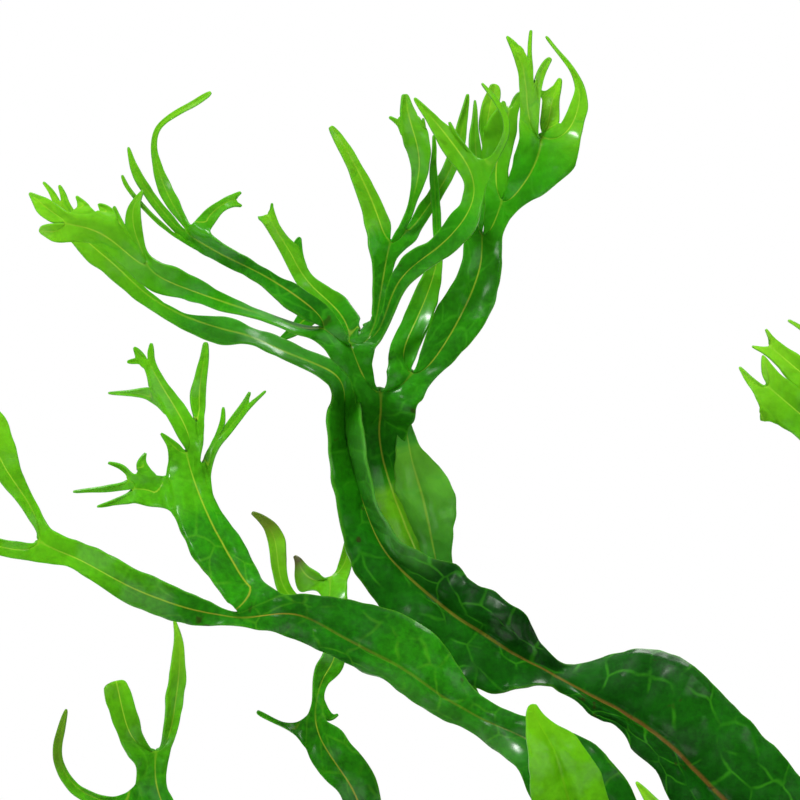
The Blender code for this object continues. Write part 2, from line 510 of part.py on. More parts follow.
# The wood's limbs, each a line of rings: x, y and z of the centre and the radius, in millimetres.
LIMBS = {
    "trunk": [(-112, 2, 34, 12), (-92, 0, 31, 15.5), (-66, -2, 27, 20), (-34, 0, 24.5, 23.5),
              (0, 1, 22.5, 26), (34, 0, 23, 25), (66, -1, 27, 20.5), (92, 0, 31, 16), (112, 1, 35, 12.5)],
    "left_root": [(-96, 1, 31, 15), (-112, 2, 33, 12), (-126, 6, 26, 9.5), (-137, 12, 16, 7.5),
                  (-144, 20, 6, 6), (-148, 26, -2, 4)],
    "right_branch": [(96, 0, 31, 15.5), (112, 1, 35, 12.5), (126, 5, 42, 9.5), (138, 11, 50, 7.5),
                     (146, 19, 60, 6)],
    "front_root": [(18, -4, 22, 17), (22, -24, 18, 12.5), (28, -42, 11, 9), (38, -56, 4, 6.5),
                   (46, -64, -2, 4)],
    "back_root": [(-22, 4, 22, 16), (-28, 24, 17, 12), (-38, 42, 10, 8.5), (-52, 56, 3, 6),
                  (-60, 62, -3, 4)],
    "front_knot": [(-56, -4, 26, 13), (-64, -22, 30, 9), (-70, -32, 35, 6.5)],
    "back_knot": [(56, 6, 28, 13), (64, 22, 33, 9), (70, 31, 40, 6)],
}
LIMB_STEP = 12.0            # spacing of a limb's rings, mm
FORKS = {                   # the region beyond each fork, as a box: lowest and highest corner, mm
    "left_root": ((-200, -40, -20), (-104, 60, 90)),
    "right_branch": ((104, -40, -20), (200, 60, 90)),
    "front_root": ((-4, -90, -20), (70, -29, 60)),
    "back_root": ((-80, 29, -20), (0, 90, 60)),
}
WOOD_CELL = 3.5 * MM        # size of the cells that even out the wood's faces
WOOD_KEEP = 0.2             # share of those faces that is kept
WOOD_LUMP = 5.0 * MM        # depth of the wood's flutes and swellings
WOOD_GRAIN = Vector((15, 44, 44))   # how many of them fit in a metre along the log and across it
LUMPS_END = 46.0 * MM       # the height where the wood is almost smooth, under the rhizome
LUMPS_FADE = 14.0 * MM      # and the depth over which the lumps grow to their full size
LEAST_LUMPS = 0.1
LIMB_BEVEL = 5              # roundness of the limbs
BELOW_THE_WOOD = ((-200, -200, -60), (200, 200, 0))   # what the flat underside cuts away, mm


def through(points, step):
    """Points a step apart along a smooth curve through the given ones."""
    points = [Vector(point) for point in points]
    line = [points[0] * 2 - points[1], *points, points[-1] * 2 - points[-2]]
    made = []
    for a, b, c, d in zip(line, line[1:], line[2:], line[3:]):
        count = max(1, round((c - b).length / step))
        for i in range(count):
            t = i / count
            made.append(0.5 * ((2 * b) + (c - a) * t + (2 * a - 5 * b + 4 * c - d) * t ** 2
                               + (3 * b - a - 3 * c + d) * t ** 3))
    return made + [points[-1]]


def tube(name, points, home, sides_level):
    """A curve with filled caps through points of x, y, z and radius, in millimetres, made a mesh."""
    data = bpy.data.curves.new(name, "CURVE")
    data.dimensions = "3D"
    data.bevel_depth = 1 * MM
    data.bevel_resolution = sides_level
    data.use_fill_caps = True
    spline = data.splines.new("POLY")
    spline.points.add(len(points) - 1)
    for point, (x, y, z, radius) in zip(spline.points, points):
        point.co = (x * MM, y * MM, z * MM, 1)
        point.radius = radius
    curve = bpy.data.objects.new(name, data)
    home.objects.link(curve)
    bpy.context.view_layer.update()
    mesh = bpy.data.meshes.new_from_object(curve.evaluated_get(bpy.context.evaluated_depsgraph_get()))
    bm = bmesh.new()
    bm.from_mesh(mesh)
    bmesh.ops.remove_doubles(bm, verts=bm.verts, dist=MERGE)
    bm.to_mesh(mesh)
    bm.free()
    bpy.data.objects.remove(curve)
    made = bpy.data.objects.new(name, mesh)
    home.objects.link(made)
    return made


def helper(thing):
    thing.hide_render = True
    thing.display_type = "WIRE"
    return thing


def block(name, low, high, home):
    """A box cutter between two corners, in millimetres."""
    bm = bmesh.new()
    bmesh.ops.create_cube(bm, size=1)
    low = Vector(low)
    high = Vector(high)
    for vert in bm.verts:
        vert.co = Vector(((low[i] + high[i]) / 2 + vert.co[i] * (high[i] - low[i]) for i in range(3))) * MM
    return helper(object_from(bm, name, home, CUTTER_RED, STEM_ROUGHNESS))


def boolean(thing, other, operation):
    cut = thing.modifiers.new(operation.lower() + " " + other.name, "BOOLEAN")
    cut.operation = operation
    cut.object = other
    return cut


def evaluated(thing, name, home):
    """A plain object that holds a thing's mesh with its modifiers worked in."""
    bpy.context.view_layer.update()
    mesh = bpy.data.meshes.new_from_object(thing.evaluated_get(bpy.context.evaluated_depsgraph_get()))
    made = bpy.data.objects.new(name, mesh)
    home.objects.link(made)
    return made


def make_wood(home, cutters):
    """The whole piece of wood with its flat underside, then the pieces that it is split into at its forks."""
    limbs = {}
    for name, points in LIMBS.items():
        limbs[name] = helper(tube(name + "_limb", through(points, LIMB_STEP), cutters, LIMB_BEVEL))
    whole = limbs.pop("trunk")
    for limb in limbs.values():
        boolean(whole, limb, "UNION")
    lumpy = helper(evaluated(whole, "lumpy_wood", cutters))
    lumpy.data.update()
    normals = [vert.normal.copy() for vert in lumpy.data.vertices]
    for vert, normal in zip(lumpy.data.vertices, normals):
        calm = min(1.0, max(LEAST_LUMPS, (LUMPS_END - vert.co.z) / LUMPS_FADE))
        vert.co += normal * noise.noise(vert.co * WOOD_GRAIN) * WOOD_LUMP * calm
    even = lumpy.modifiers.new("even faces", "REMESH")
    even.mode = "VOXEL"
    even.voxel_size = WOOD_CELL
    fewer = lumpy.modifiers.new("fewer faces", "DECIMATE")
    fewer.ratio = WOOD_KEEP
    boolean(lumpy, block("below_the_wood", *BELOW_THE_WOOD, cutters), "DIFFERENCE")
    wood = helper(evaluated(lumpy, "whole_wood", cutters))
    trunk = object_from(mesh_copy(wood), "driftwood_trunk", home, WOOD_BROWN, WOOD_ROUGHNESS)
    gap = GAP / MM
    for name, (low, high) in FORKS.items():
        region = block(name + "_region", low, high, cutters)
        piece = object_from(mesh_copy(wood), "driftwood_" + name, home, WOOD_BROWN, WOOD_ROUGHNESS)
        boolean(piece, region, "INTERSECT")
        wider = block(name + "_kerf", [c - gap for c in low], [c + gap for c in high], cutters)
        boolean(trunk, wider, "DIFFERENCE")
    return wood


def mesh_copy(thing):
    bm = bmesh.new()
    bm.from_mesh(thing.data)
    return bm


# Rhizome: its line over the wood, with a slow wander from side to side, and its swellings
RHIZOME_ENDS = (-106.0, 118.0)
RHIZOME_STEP = 11.0
RHIZOME_WANDER = 0.5
RHIZOME_BEND = 17.0         # length over which the wander turns by a radian
RHIZOME_NECK = 0.07         # how much thinner it is between swellings
RHIZOME_TIP = 0.6           # radius at its ends as a share
RHIZOME_BEVEL = 2


def make_rhizome(home):
    low, high = RHIZOME_ENDS
    count = round((high - low) / RHIZOME_STEP)
    points = []
    for i in range(count + 1):
        x = low + (high - low) * i / count
        radius = RHIZOME_RADIUS / MM * (1 - RHIZOME_NECK * (i % 2))
        if i in (0, count):
            radius *= RHIZOME_TIP
        y = RHIZOME_WANDER * math.sin(x / RHIZOME_BEND)
        points.append((x, y, (RHIZOME_TOP - RHIZOME_RADIUS) / MM, radius))
    rhizome = tube("rhizome", points, home, RHIZOME_BEVEL)
    rhizome.data.materials.append(paint("rhizome", RHIZOME_OLIVE, STEM_ROUGHNESS))


# Root mat: a felt of roots that lies over the wood's crest, under the rhizome
MAT_HALF_WIDTH = 10.0
MAT_LENGTH = (-100.0, 98.0)
MAT_CELLS = (20, 3)
MAT_THICK = 1.9 * MM
MAT_LIFT = 1.0 * MM
MAT_EDGE_LIFT = 0.4 * MM    # how much higher its long edges lie
MAT_FRAY = 0.1              # how far its edges draw in and out, as a share of the width
MAT_FRAY_BEND = 5.0         # length over which they turn by a radian
OVER_THE_WOOD = 90.0        # a height that is clear of the wood


def make_roots(wood, home):
    low, high = MAT_LENGTH
    along, across = MAT_CELLS
    bm = bmesh.new()
    grid = bmesh.ops.create_grid(bm, x_segments=along, y_segments=across, size=1)["verts"]
    for vert in grid:
        x = low + (high - low) * (vert.co.x + 1) / 2
        y = vert.co.y * MAT_HALF_WIDTH * (1 - MAT_FRAY + MAT_FRAY * math.sin(x / MAT_FRAY_BEND))
        place = wood.ray_cast(Vector((x, y, OVER_THE_WOOD)) * MM, Vector((0, 0, -1)))[1]
        lift = MAT_LIFT + MAT_THICK / 2 + MAT_EDGE_LIFT * vert.co.y ** 2
        vert.co = place + Vector((0, 0, lift))
    mat = object_from(bm, "roots", home, ROOT_BROWN, FELT_ROUGHNESS)
    shell = mat.modifiers.new("thickness", "SOLIDIFY")
    shell.thickness = MAT_THICK
    shell.offset = 0


for thing in list(bpy.data.objects):
    bpy.data.objects.remove(thing)
fern = collection("java_fern_on_driftwood")
cutters = collection("cutters")
whole_wood = make_wood(fern, cutters)
make_rhizome(fern)
make_roots(whole_wood, fern)
for frond_name, drawing in FRONDS.items():
    make_frond(frond_name, drawn_frond(drawing), fern)
for frond_name, habit in GROWN.items():
    make_frond(frond_name, grown_frond(*habit), fern)
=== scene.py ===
# Java fern on driftwood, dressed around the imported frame: fronds, rhizome, roots and wood.
import json
import math
import random
from functools import partial

import bpy
from mathutils import Matrix, Quaternion, Vector, kdtree, noise
from mathutils.bvhtree import BVHTree


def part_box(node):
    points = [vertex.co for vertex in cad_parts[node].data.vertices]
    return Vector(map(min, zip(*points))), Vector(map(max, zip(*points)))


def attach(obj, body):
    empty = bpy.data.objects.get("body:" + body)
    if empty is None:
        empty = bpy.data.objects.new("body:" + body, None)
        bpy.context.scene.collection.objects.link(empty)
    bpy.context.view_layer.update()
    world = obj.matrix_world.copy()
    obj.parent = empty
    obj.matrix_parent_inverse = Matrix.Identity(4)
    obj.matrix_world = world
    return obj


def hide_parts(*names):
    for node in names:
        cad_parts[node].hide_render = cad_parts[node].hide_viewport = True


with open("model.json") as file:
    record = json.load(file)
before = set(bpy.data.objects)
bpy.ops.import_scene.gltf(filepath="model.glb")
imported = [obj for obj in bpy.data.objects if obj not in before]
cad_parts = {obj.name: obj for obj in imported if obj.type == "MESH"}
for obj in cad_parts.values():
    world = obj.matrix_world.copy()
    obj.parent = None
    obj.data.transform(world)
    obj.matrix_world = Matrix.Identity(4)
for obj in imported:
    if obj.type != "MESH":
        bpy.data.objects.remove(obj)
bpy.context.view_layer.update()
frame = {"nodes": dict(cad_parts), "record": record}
mm = 0.001
packedNear = 0.01 * mm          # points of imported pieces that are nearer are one
bpy.ops.object.select_all(action="DESELECT")

# The grid that the seen fronds are drawn on, seen from the front: x right, y down
drawing = {
    "step": 0.16 * mm,
    "eye": 1422.2 * mm,
    "centre": (400, 400),
    "centreX": -72.0 * mm,
    "centreZ": 159.0 * mm,
    "tipReach": 1.3,            # no tip is narrower than this, so that tips are blunt
    "fold": -0.5,               # how far a margin lies behind the midrib, against its reach
    "roll": 1.3, "rollSteps": 70,       # how far a blade rolls, and over how many steps
    "rollApart": 7.3,           # between two ribbons' places in the noise of their rolls
}
stemLow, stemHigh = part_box("rhizome")
matLow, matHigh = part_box("roots")
rhizomeTop = stemHigh.z
frondFoot = rhizomeTop + 0.3 * mm

# Each seen frond is a list of ribbons: a name, what it grows from, and its stations from foot to tip.
# A station is x, y and depth of the midrib, its reach to the left and right, and how far back its edges
# lie, where they don't fold and roll as usual.

frondDrawings = {
    "frond_twisted": [
        ("blade", None, [
            (960, 1030, 0, 7, 7), (938, 995, -3, 7, 7), (908, 966, -6, 9, 9), (872, 938, -8, 20, 24),
            (835, 908, -10, 34, 44), (796, 876, -10, 42, 62), (755, 838, -8, 42, 76, -12, 12),
            (712, 800, -5, 36, 82, -14, 16), (690, 780, -4, 30, 84, -16, 18),
            (655, 750, -2, 10, 90, -20, 22), (620, 730, 0, 2, 94, -10, 24),
            (600, 716, 0, 3, 82, -8, 26), (577, 701, 0, 3, 59, -8, 34),
            (563, 689, -4, 4, 36, -12, 40), (554, 679, -10, 6, 15, -30, 38),
            (540, 668, -20, 23, 17, -30, 10), (520, 655, -20, 45, 26, -22, -6),
            (498, 641, -20, 57, 42, -20, -16), (480, 628, -20, 56, 41, -20, -18),
            (460, 616, -20, 54, 34, -18, -20),
            (425, 590, -20, 46, 38, -18, -18), (403, 567, -20, 44, 21, -18, -14),
            (385, 545, -18, 42, 13, -22, -22), (371, 515, -8, 31, 10, -34, -34),
            (358, 480, 2, 25, 13, -43, -43), (347, 443, 8, 21, 16, -47, -47),
            (344, 415, 10, 18, 17, -46, -44), (345, 392, 14, 12, 14, -24, -14),
            (336, 376, 14, 9, 16, -12, 10), (315, 366, 16, 7, 12, -10, 10),
            (290, 358, 18, 2, 14, -18, 12), (270, 350, 20, 3, 17, -18, 12),
            (250, 338, 22, 4, 9, -18, 18), (233, 334, 24, 11, 15, -8, 8),
            (215, 328, 26, 15, 13), (190, 318, 28, 13, 1), (163, 305, 28, 11, 0),
            (140, 288, 28, 12, 3), (115, 265, 28, 13, 8), (92, 246, 26, 14, 8),
            (72, 226, 24, 11, 9), (61, 205, 22, 7, 8)]),
        ("crook", "blade end_l", [(53, 193, 22, 3, 3), (43, 182, 22, 0, 0)]),
        ("thumb", "blade end_r", [(64, 196, 22, 3, 3), (59, 185, 22, 0, 0)]),
    ],
    "frond_crested": [
        ("stem", None, [
            (930, 1030, 12, 6, 6), (905, 1005, 30, 6, 6), (860, 968, 52, 6, 6), (800, 925, 60, 6, 6),
            (720, 880, 60, 6, 6), (650, 842, 58, 6, 6), (600, 812, 56, 6, 6), (565, 788, 55, 6, 6),
            (530, 760, 54, 6, 6), (498, 732, 53, 6, 6), (475, 703, 52, 6, 6), (461, 670, 50, 7, 7),
            (451, 635, 48, 9, 9), (441, 600, 44, 14, 14)]),
        ("blade", "stem end_l", [
            (424, 570, 40, 18, 11), (415, 545, 37, 32, 14), (405, 518, 34, 38, 18),
            (394, 490, 30, 36, 20), (384, 460, 26, 34, 20), (378, 432, 20, 24, 30),
            (378, 414, 6, 22, 39), (380, 399, -14, 24, 38)]),
        ("flap", "stem end_r", [
            (436, 562, 34, 10, 16), (433, 540, 26, 18, 20, 10, -10), (428, 517, 20, 26, 29, 12, -12),
            (422, 493, 16, 26, 34, 12, -14), (415, 468, 14, 23, 22, 8, -10),
            (410, 447, 12, 14, 7), (406, 430, 10, 9, 7), (401, 412, 4, 8, 8)]),
        ("shoulder", "blade end_l", [(361, 372, -32, 12, 10), (353, 353, -38, 22, 24)]),
        ("arm", "shoulder end_l", [(330, 330, -42, 17, 16)]),
        ("reach", "arm end_r", [
            (312, 309, -42, 14, 14), (290, 292, -41, 15, 9), (268, 278, -40, 10, 7),
            (245, 265, -39, 9, 8), (222, 253, -38, 11, 9), (203, 242, -37, 10, 9),
            (188, 234, -36, 7, 7)]),
        ("hook", "reach r6", [
            (205, 222, -33, 9, 9), (212, 212, -29, 7, 8), (223, 204.5, -26, 5, 5), (233, 200, -24, 6, 6)]),
        ("hook_upper", "hook end_l", [(241, 192, -24, 0, 0)]),
        ("hook_lower", "hook end_r", [(242, 206, -24, 0, 0)]),
        ("plume", "reach end_r", [
            (184, 221, -32, 3, 3), (174, 207, -26, 6, 7), (165, 190, -20, 7, 8), (158, 170, -18, 5, 5),
            (153, 150, -16, 2, 3), (154, 134, -16, 2, 3), (161, 122, -16, 2, 3), (177, 112, -16, 3, 3),
            (195, 103, -16, 3, 3), (204, 97, -16, 3, 3), (211, 92, -16, 2, 2)]),
        ("spear", "reach end_l", [
            (174, 225, -38, 5, 5), (157, 205, -40, 5, 5), (144.5, 187, -42, 5, 5), (134, 170, -42, 4, 4),
            (128, 147, -42, 0, 0)]),
        ("whip", "reach l6", [
            (172, 234, -46, 2, 2), (151, 216, -52, 2, 2), (136, 199, -54, 2, 2), (126, 186, -54, 2, 2),
            (122, 175, -54, 0, 0)]),
        ("drape", "arm end_l", [
            (302, 330, -50, 7, 3, -16, 16), (272, 319, -54, 3, 3, -16, 16),
            (246, 311, -56, 5, 5, -12, 12), (222, 303, -58, 8, 9, -6, 6), (195, 292, -60, 10, 13),
            (170, 281, -61, 17, 16), (151, 270, -62, 19, 9)]),
        ("flame", "drape end_r", [
            (142, 251, -58, 8, 3), (134, 231, -58, 9, 8), (132, 213, -58, 7, 8), (136, 201, -58, 4, 4),
            (143, 190, -58, 0, 0)]),
        ("hand", "drape end_l", [
            (127, 252, -64, 13, 12), (108, 236, -66, 11, 16), (90, 226, -66, 17, 15),
            (70, 222, -66, 20, 8)]),
        ("palm_low", "hand end_l", [(54, 233, -60, 9, 10), (39, 230, -60, 3, 5)]),
        ("palm_high", "hand end_r", [
            (56, 214, -60, 12, 8), (44, 205, -60, 10, 7), (36, 198, -60, 5, 4), (29, 193, -60, 0, 0)]),
        ("knuckle_first", "hand r3", [(84, 206, -58, 5, 5), (76, 196, -58, 0, 0)]),
        ("knuckle_second", "hand r2", [(107, 211, -56, 7, 8), (98, 204, -56, 0, 0)]),
        ("knuckle_third", "hand r1", [(116, 220, -57, 5, 5), (114, 206, -57, 0, 0)]),
        ("rise", "shoulder end_r", [(366, 344, -26, 12, 12)]),
        ("stalk", "rise end_l", [
            (375, 324, -6, 4, 6), (378, 303, 2, 5, 6), (383, 275, 10, 10, 8), (388, 246, 16, 19, 14)]),
        ("fan", "rise l0", [
            (350, 325, 8, 13, 15), (334, 305, 34, 12, 15), (316, 290, 50, 12, 8), (301, 272, 54, 10, 5),
            (290, 251, 58, 9, 10), (278, 234, 60, 7, 5), (269, 217, 60, 8, 6)]),
        ("fan_low", "fan end_l", [(258, 217, 60, 0, 0)]),
        ("fan_high", "fan end_r", [(272, 203, 60, 0, 0)]),
        ("fan_tooth", "fan r4", [(297, 243, 58, 5, 4), (300, 237, 58, 0, 0)]),
        ("fan_drop", "fan l2", [(307, 317, 60, 9, 8), (295, 330, 60, 7, 6), (279, 340, 60, 0, 0)]),
        ("sprig", "stalk l0", [(370, 321, 0, 2, 2), (363, 326, 0, 0, 0)]),
        ("blade_left", "stalk end_l", [
            (381, 227, 18, 15, 13), (370, 197, 22, 10, 8), (354, 165, 26, 7, 7), (343, 145, 28, 6, 6),
            (335, 133, 28, 4, 4), (331, 126, 28, 3, 2)]),
        ("neck", "stalk end_r", [(402, 237, 18, 9, 15)]),
        ("blade_middle", "neck end_l", [
            (410, 214, 14, 3, 3), (414, 195, 12, 4, 4), (421, 171, 10, 9, 9), (419, 150, 8, 12, 13),
            (412, 131, 8, 11, 14), (407, 115, 8, 7, 9), (405, 103, 8, 4, 6), (405, 94, 8, 3, 3)]),
        ("barb", "blade_middle l5", [(398, 122, 8, 2, 2), (389, 117, 8, 0, 0)]),
        ("hooklet", "blade_middle r5", [(425, 130, 8, 2, 2), (423, 118, 8, 0, 0)]),
        ("blade_right", "neck end_r", [
            (417, 223, 30, 8, 7), (435, 198, 40, 9, 6), (448, 176, 46, 8, 5), (458, 150, 50, 8, 8),
            (462, 125, 50, 5, 5), (466, 108, 50, 3, 3), (468, 94, 50, 0, 0)]),
        ("sash", "rise end_r", [
            (381, 330, -28, 4, 5), (389, 305, -30, 5, 8), (398, 282, -32, 10, 8),
            (415, 264, -34, 17, 13), (436, 249, -36, 7, 11), (455, 232, -40, 14, 18),
            (470, 212, -42, 12, 13), (476, 190, -42, 9, 8), (469, 168, -40, 9, 11),
            (456, 149, -38, 13, 8), (442, 131, -36, 9, 8), (431, 117, -36, 6, 5),
            (422, 107, -36, 4, 3), (414, 98, -36, 0, 0)]),
        ("sash_sprig", "sash r9", [(453, 133, -36, 2, 2), (449, 122, -36, 0, 0)]),
        ("lash", "sash r8", [
            (495, 158, -46, 3, 3), (505, 140, -48, 3, 3), (508, 125, -48, 3, 3), (503, 110, -48, 3, 3),
            (492, 95, -48, 2, 2), (482, 83, -48, 0, 0)]),
        ("crook", "blade end_r", [(410, 379, -18, 23, 20)]),
        ("tongue", "crook end_l", [
            (402, 355, -8, 15, 13), (412, 331, 4, 14, 15), (424, 303, 14, 13, 14),
            (432, 280, 18, 11, 10), (438, 258, 18, 5, 5), (438, 240, 18, 4, 4), (436, 210, 20, 4, 4),
            (435, 185, 22, 5, 4), (433, 165, 24, 3, 3), (435, 150, 26, 2, 2), (434, 135, 26, 0, 0)]),
        ("sail", "crook end_r", [
            (431, 364, -16, 13, 14), (448, 340, -12, 22, 20), (462, 314, -8, 25, 27),
            (473, 287, -4, 20, 27), (481, 262, 0, 18, 23), (482, 240, 4, 18, 20)]),
        ("tuft", "sail end_l", [
            (477, 222, 16, 8, 7), (479, 195, 24, 8, 7), (477, 165, 26, 7, 7), (474, 140, 26, 6, 5),
            (475, 120, 26, 2, 3), (475, 100, 26, 0, 0)]),
        ("mast", "sail end_r", [(492, 227, 4, 9, 11), (501, 205, 4, 16, 15)]),
        ("crown", "mast end_r", [(514, 196, 0, 10, 15), (528, 178, -2, 20, 27), (542, 147, -2, 25, 39)]),
        ("sickle", "crown end_r", [
            (570, 131, 0, 11, 12), (578, 112, 2, 9, 9), (581, 96, 4, 7, 8), (577, 80, 6, 2, 4),
            (569, 66, 6, 1.5, 3), (558, 52, 6, 1.5, 2), (546, 36, 6, 0, 0)]),
        ("horn", "crown end_l", [
            (529, 118, -6, 9, 8), (528, 91, -8, 8, 7), (524, 67, -10, 6, 6), (516, 49, -10, 4, 5),
            (507, 36, -10, 0, 0)]),
        ("horn_tine", "horn r2", [(529, 53, -8, 2, 2), (530, 38, -8, 1.5, 1.5), (531, 30, -8, 0, 0)]),
        ("horn_nick", "horn r3", [(522, 48, -9, 0, 0)]),
        ("horn_spur", "horn r1", [(538, 79, -4, 4, 5), (544, 67, -4, 4, 4), (551, 58, -4, 3, 2)]),
        ("veil", "sickle l0", [
            (549, 122, 14, 10, 9), (552, 103, 18, 9, 7), (557, 88, 20, 4, 4), (560, 78, 20, 2, 2)]),
        ("veil_shoulder", "veil l2", [(543, 95, 20, 3, 3), (539, 90, 20, 0, 0)]),
        ("lobe", "mast end_l", [
            (497, 185, 14, 12, 12), (498, 160, 20, 16, 11), (503, 135, 24, 22, 12),
            (509, 112, 26, 12, 11)]),
        ("lobe_left", "lobe end_l", [(503, 101, 26, 0, 0)]),
        ("lobe_right", "lobe end_r", [(516, 99, 26, 4, 4), (520, 92, 26, 0, 0)]),
        ("bud", "lobe l2", [
            (487, 125, 34, 9, 9), (489, 106, 36, 8, 9), (493, 93, 36, 6, 9), (495, 84, 36, 4, 5)]),
    ],
    "frond_reaching": [
        ("blade", None, [
            (690, 1030, -10, 6, 6), (688, 1000, -22, 6, 6), (680, 960, -50, 7, 7),
            (664, 918, -88, 12, 12), (642, 878, -120, 26, 26), (612, 835, -142, 42, 42),
            (577, 790, -148, 43, 49), (552, 754, -148, 34, 35), (520, 733, -146, 29, 17),
            (487, 722, -143, 18, 17, 6, 4), (462, 709, -141, 15, 22, 6, 10),
            (438, 700, -143, 17, 39, 5, 16), (412, 684, -145, 11, 54, 4, 26),
            (385, 668, -144, 11, 54, 4, 28), (355, 653, -142, 12, 53, 4, 24),
            (330, 636, -138, 16, 44, 4, 14), (308, 616, -133, 27, 25, 4, 4),
            (283, 609, -131, 25, 13), (243, 619, -130, 8, 4), (222, 614, -130, 11, 5),
            (198, 609, -130, 18, 11), (165, 599, -130, 19, 15), (130, 586, -130, 17, 17),
            (98, 571, -130, 13, 20), (73, 557, -130, 8, 18), (44, 545, -130, 18, 14)]),
        ("arm_up", "blade end_r", [
            (35, 514, -130, 7, 7), (20, 490, -130, 9, 8), (4, 468, -130, 13, 16),
            (-10, 438, -130, 16, 24), (-24, 408, -130, 18, 18)]),
        ("arm_up_left", "arm_up end_l", [
            (-48, 384, -130, 8, 8), (-70, 352, -132, 5, 5), (-84, 318, -134, 0, 0)]),
        ("arm_up_right", "arm_up end_r", [
            (-26, 376, -128, 8, 8), (-30, 342, -126, 5, 5), (-22, 306, -124, 0, 0)]),
        ("arm_low", "blade end_l", [
            (20, 551, -130, 9, 9), (-4, 546, -130, 7, 7), (-34, 538, -130, 12, 12),
            (-62, 530, -132, 12, 12)]),
        ("arm_low_left", "arm_low end_l", [(-92, 534, -134, 5, 5), (-118, 528, -136, 0, 0)]),
        ("arm_low_right", "arm_low end_r", [(-84, 506, -130, 5, 5), (-104, 478, -128, 0, 0)]),
        ("plume", "blade r17", [
            (250, 590, -116, 25, 13), (237, 568, -104, 28, 17), (225, 545, -92, 34, 18),
            (214, 522, -82, 34, 11), (204, 499, -74, 31, 6), (194, 470, -68, 28, 8),
            (190, 456, -66, 22, 12)]),
        ("notch", "plume end_l", [(173, 446, -70, 5, 6), (168, 440, -70, 3, 3), (161, 433, -70, 0, 0)]),
        ("spire", "plume end_r", [
            (189, 435, -66, 12, 13), (176, 410, -64, 9, 10), (160, 384, -62, 12, 6),
            (148, 362, -60, 4, 6)]),
        ("spire_left", "spire end_l", [(140, 356, -60, 5, 5), (134, 347, -60, 0, 0)]),
        ("spire_tooth", "spire_left l0", [(134, 361, -60, 3, 3), (127, 362, -60, 0, 0)]),
        ("spire_right", "spire end_r", [(151, 353, -60, 4, 3), (151, 343, -60, 0, 0)]),
        ("spire_arm", "spire l2", [(148, 393, -64, 5, 7), (130, 393, -66, 3, 2), (108, 393, -66, 0, 0)]),
        ("side_blade", "spire r0", [
            (198, 408, -54, 10, 8), (200, 380, -50, 7, 6), (205, 358, -48, 4, 4), (206, 342, -48, 3, 2)]),
        ("twig", "plume r5", [(209, 457, -60, 5, 3), (217, 440, -58, 4, 6)]),
        ("twig_left", "twig end_l", [(222, 425, -58, 2, 4), (223, 407, -58, 0, 0)]),
        ("twig_right", "twig end_r", [(231, 428, -56, 7, 4), (245, 408, -56, 5, 3)]),
        ("twig_tip", "twig_right end_l", [(250, 392, -56, 0, 0)]),
        ("twig_end", "twig_right end_r", [(266, 391, -56, 0, 0)]),
        ("fan", "plume l5", [(155, 491, -74, 17, 15), (137, 487, -78, 17, 14)]),
        ("fan_thumb", "fan r1", [(140, 464, -76, 6, 4), (146, 453, -76, 0, 0)]),
        ("fan_low", "fan end_l", [(118, 502, -80, 3, 3), (97, 507, -80, 0, 0)]),
        ("fan_high", "fan end_r", [(133, 481, -80, 8, 7)]),
        ("fan_long", "fan_high end_l", [(112, 488, -81, 4, 3), (96, 490, -82, 2, 2), (73, 492, -82, 0, 0)]),
        ("fan_short", "fan_high end_r", [(123, 467, -80, 3, 3), (108, 463, -80, 0, 0)]),
    ],
    "frond_curled": [
        ("blade", None, [
            (420, 1030, -6, 6, 6), (420, 990, -14, 6, 6), (412, 940, -28, 8, 8), (399, 895, -38, 13, 13),
            (381, 850, -44, 18, 20), (362, 810, -46, 18, 20), (350, 786, -46, 9, 29),
            (335, 763, -44, 23, 24), (318, 741, -42, 12, 27), (314, 718, -38, 5, 7),
            (317, 696, -34, 4, 4), (322, 678, -30, 11, 9), (333, 664, -26, 13, 12),
            (338, 642, -16, 12, 12), (330, 616, 0, 22, 20)]),
        ("tooth", "blade l8", [(290, 727, -38, 2, 0), (271, 718, -38, 4, 1), (257, 711, -38, 3, 2)]),
        ("tooth_right", "blade r9", [(331, 719, -36, 3, 3), (338, 714, -36, 0, 0)]),
        ("finger_left", "blade end_l", [
            (283, 598, 8, 5, 7), (277, 566, 12, 6, 9), (276.5, 543, 14, 8, 11), (269, 525, 14, 4, 8),
            (252, 512, 14, 3, 2)]),
        ("finger_right", "blade end_r", [(331, 582, 30, 13, 15)]),
        ("finger_tip", "finger_right end_l", [
            (315, 577, 34, 22, 5), (306, 571, 34, 17, 4), (298, 560, 34, 3, 3), (294, 556, 34, 0, 0)]),
        ("finger_end", "finger_right end_r", [
            (345, 568, 52, 7, 7), (350, 542, 60, 5, 5), (352, 520, 62, 0, 0)]),
    ],
    "frond_low": [
        ("blade", None, [
            (240, 1030, 0, 6, 6), (240, 985, -8, 6, 6), (229, 930, -16, 8, 8), (209, 875, -24, 12, 12),
            (187, 838, -28, 14, 12), (165, 808, -30, 24, 8), (154, 781, -30, 11, 11),
            (157, 759, -30, 27, 10)]),
        ("lobe_cut", "blade end_l", [
            (131, 738, -32, 13, 12), (123, 711, -34, 13, 12), (115, 681, -36, 15, 14)]),
        ("lobe_tall", "blade end_r", [
            (170, 735, -28, 6, 6), (174, 705, -26, 9, 9), (178, 680, -24, 9, 8), (180, 650, -22, 6, 6),
            (178, 634, -22, 3, 3), (174, 619, -22, 0, 0)]),
        ("sickle", "blade l5", [
            (118, 804, -32, 9, 5), (90, 797, -34, 9, 3), (68, 780, -36, 8, 3), (57, 757, -38, 6, 3),
            (60, 735, -40, 5, 4), (66, 709, -42, 1, 2)]),
    ],
    "frond_young": [
        ("blade", None, [
            (600, 1030, -12, 6, 6), (601, 1004, -40, 6, 6), (600, 966, -90, 10, 10),
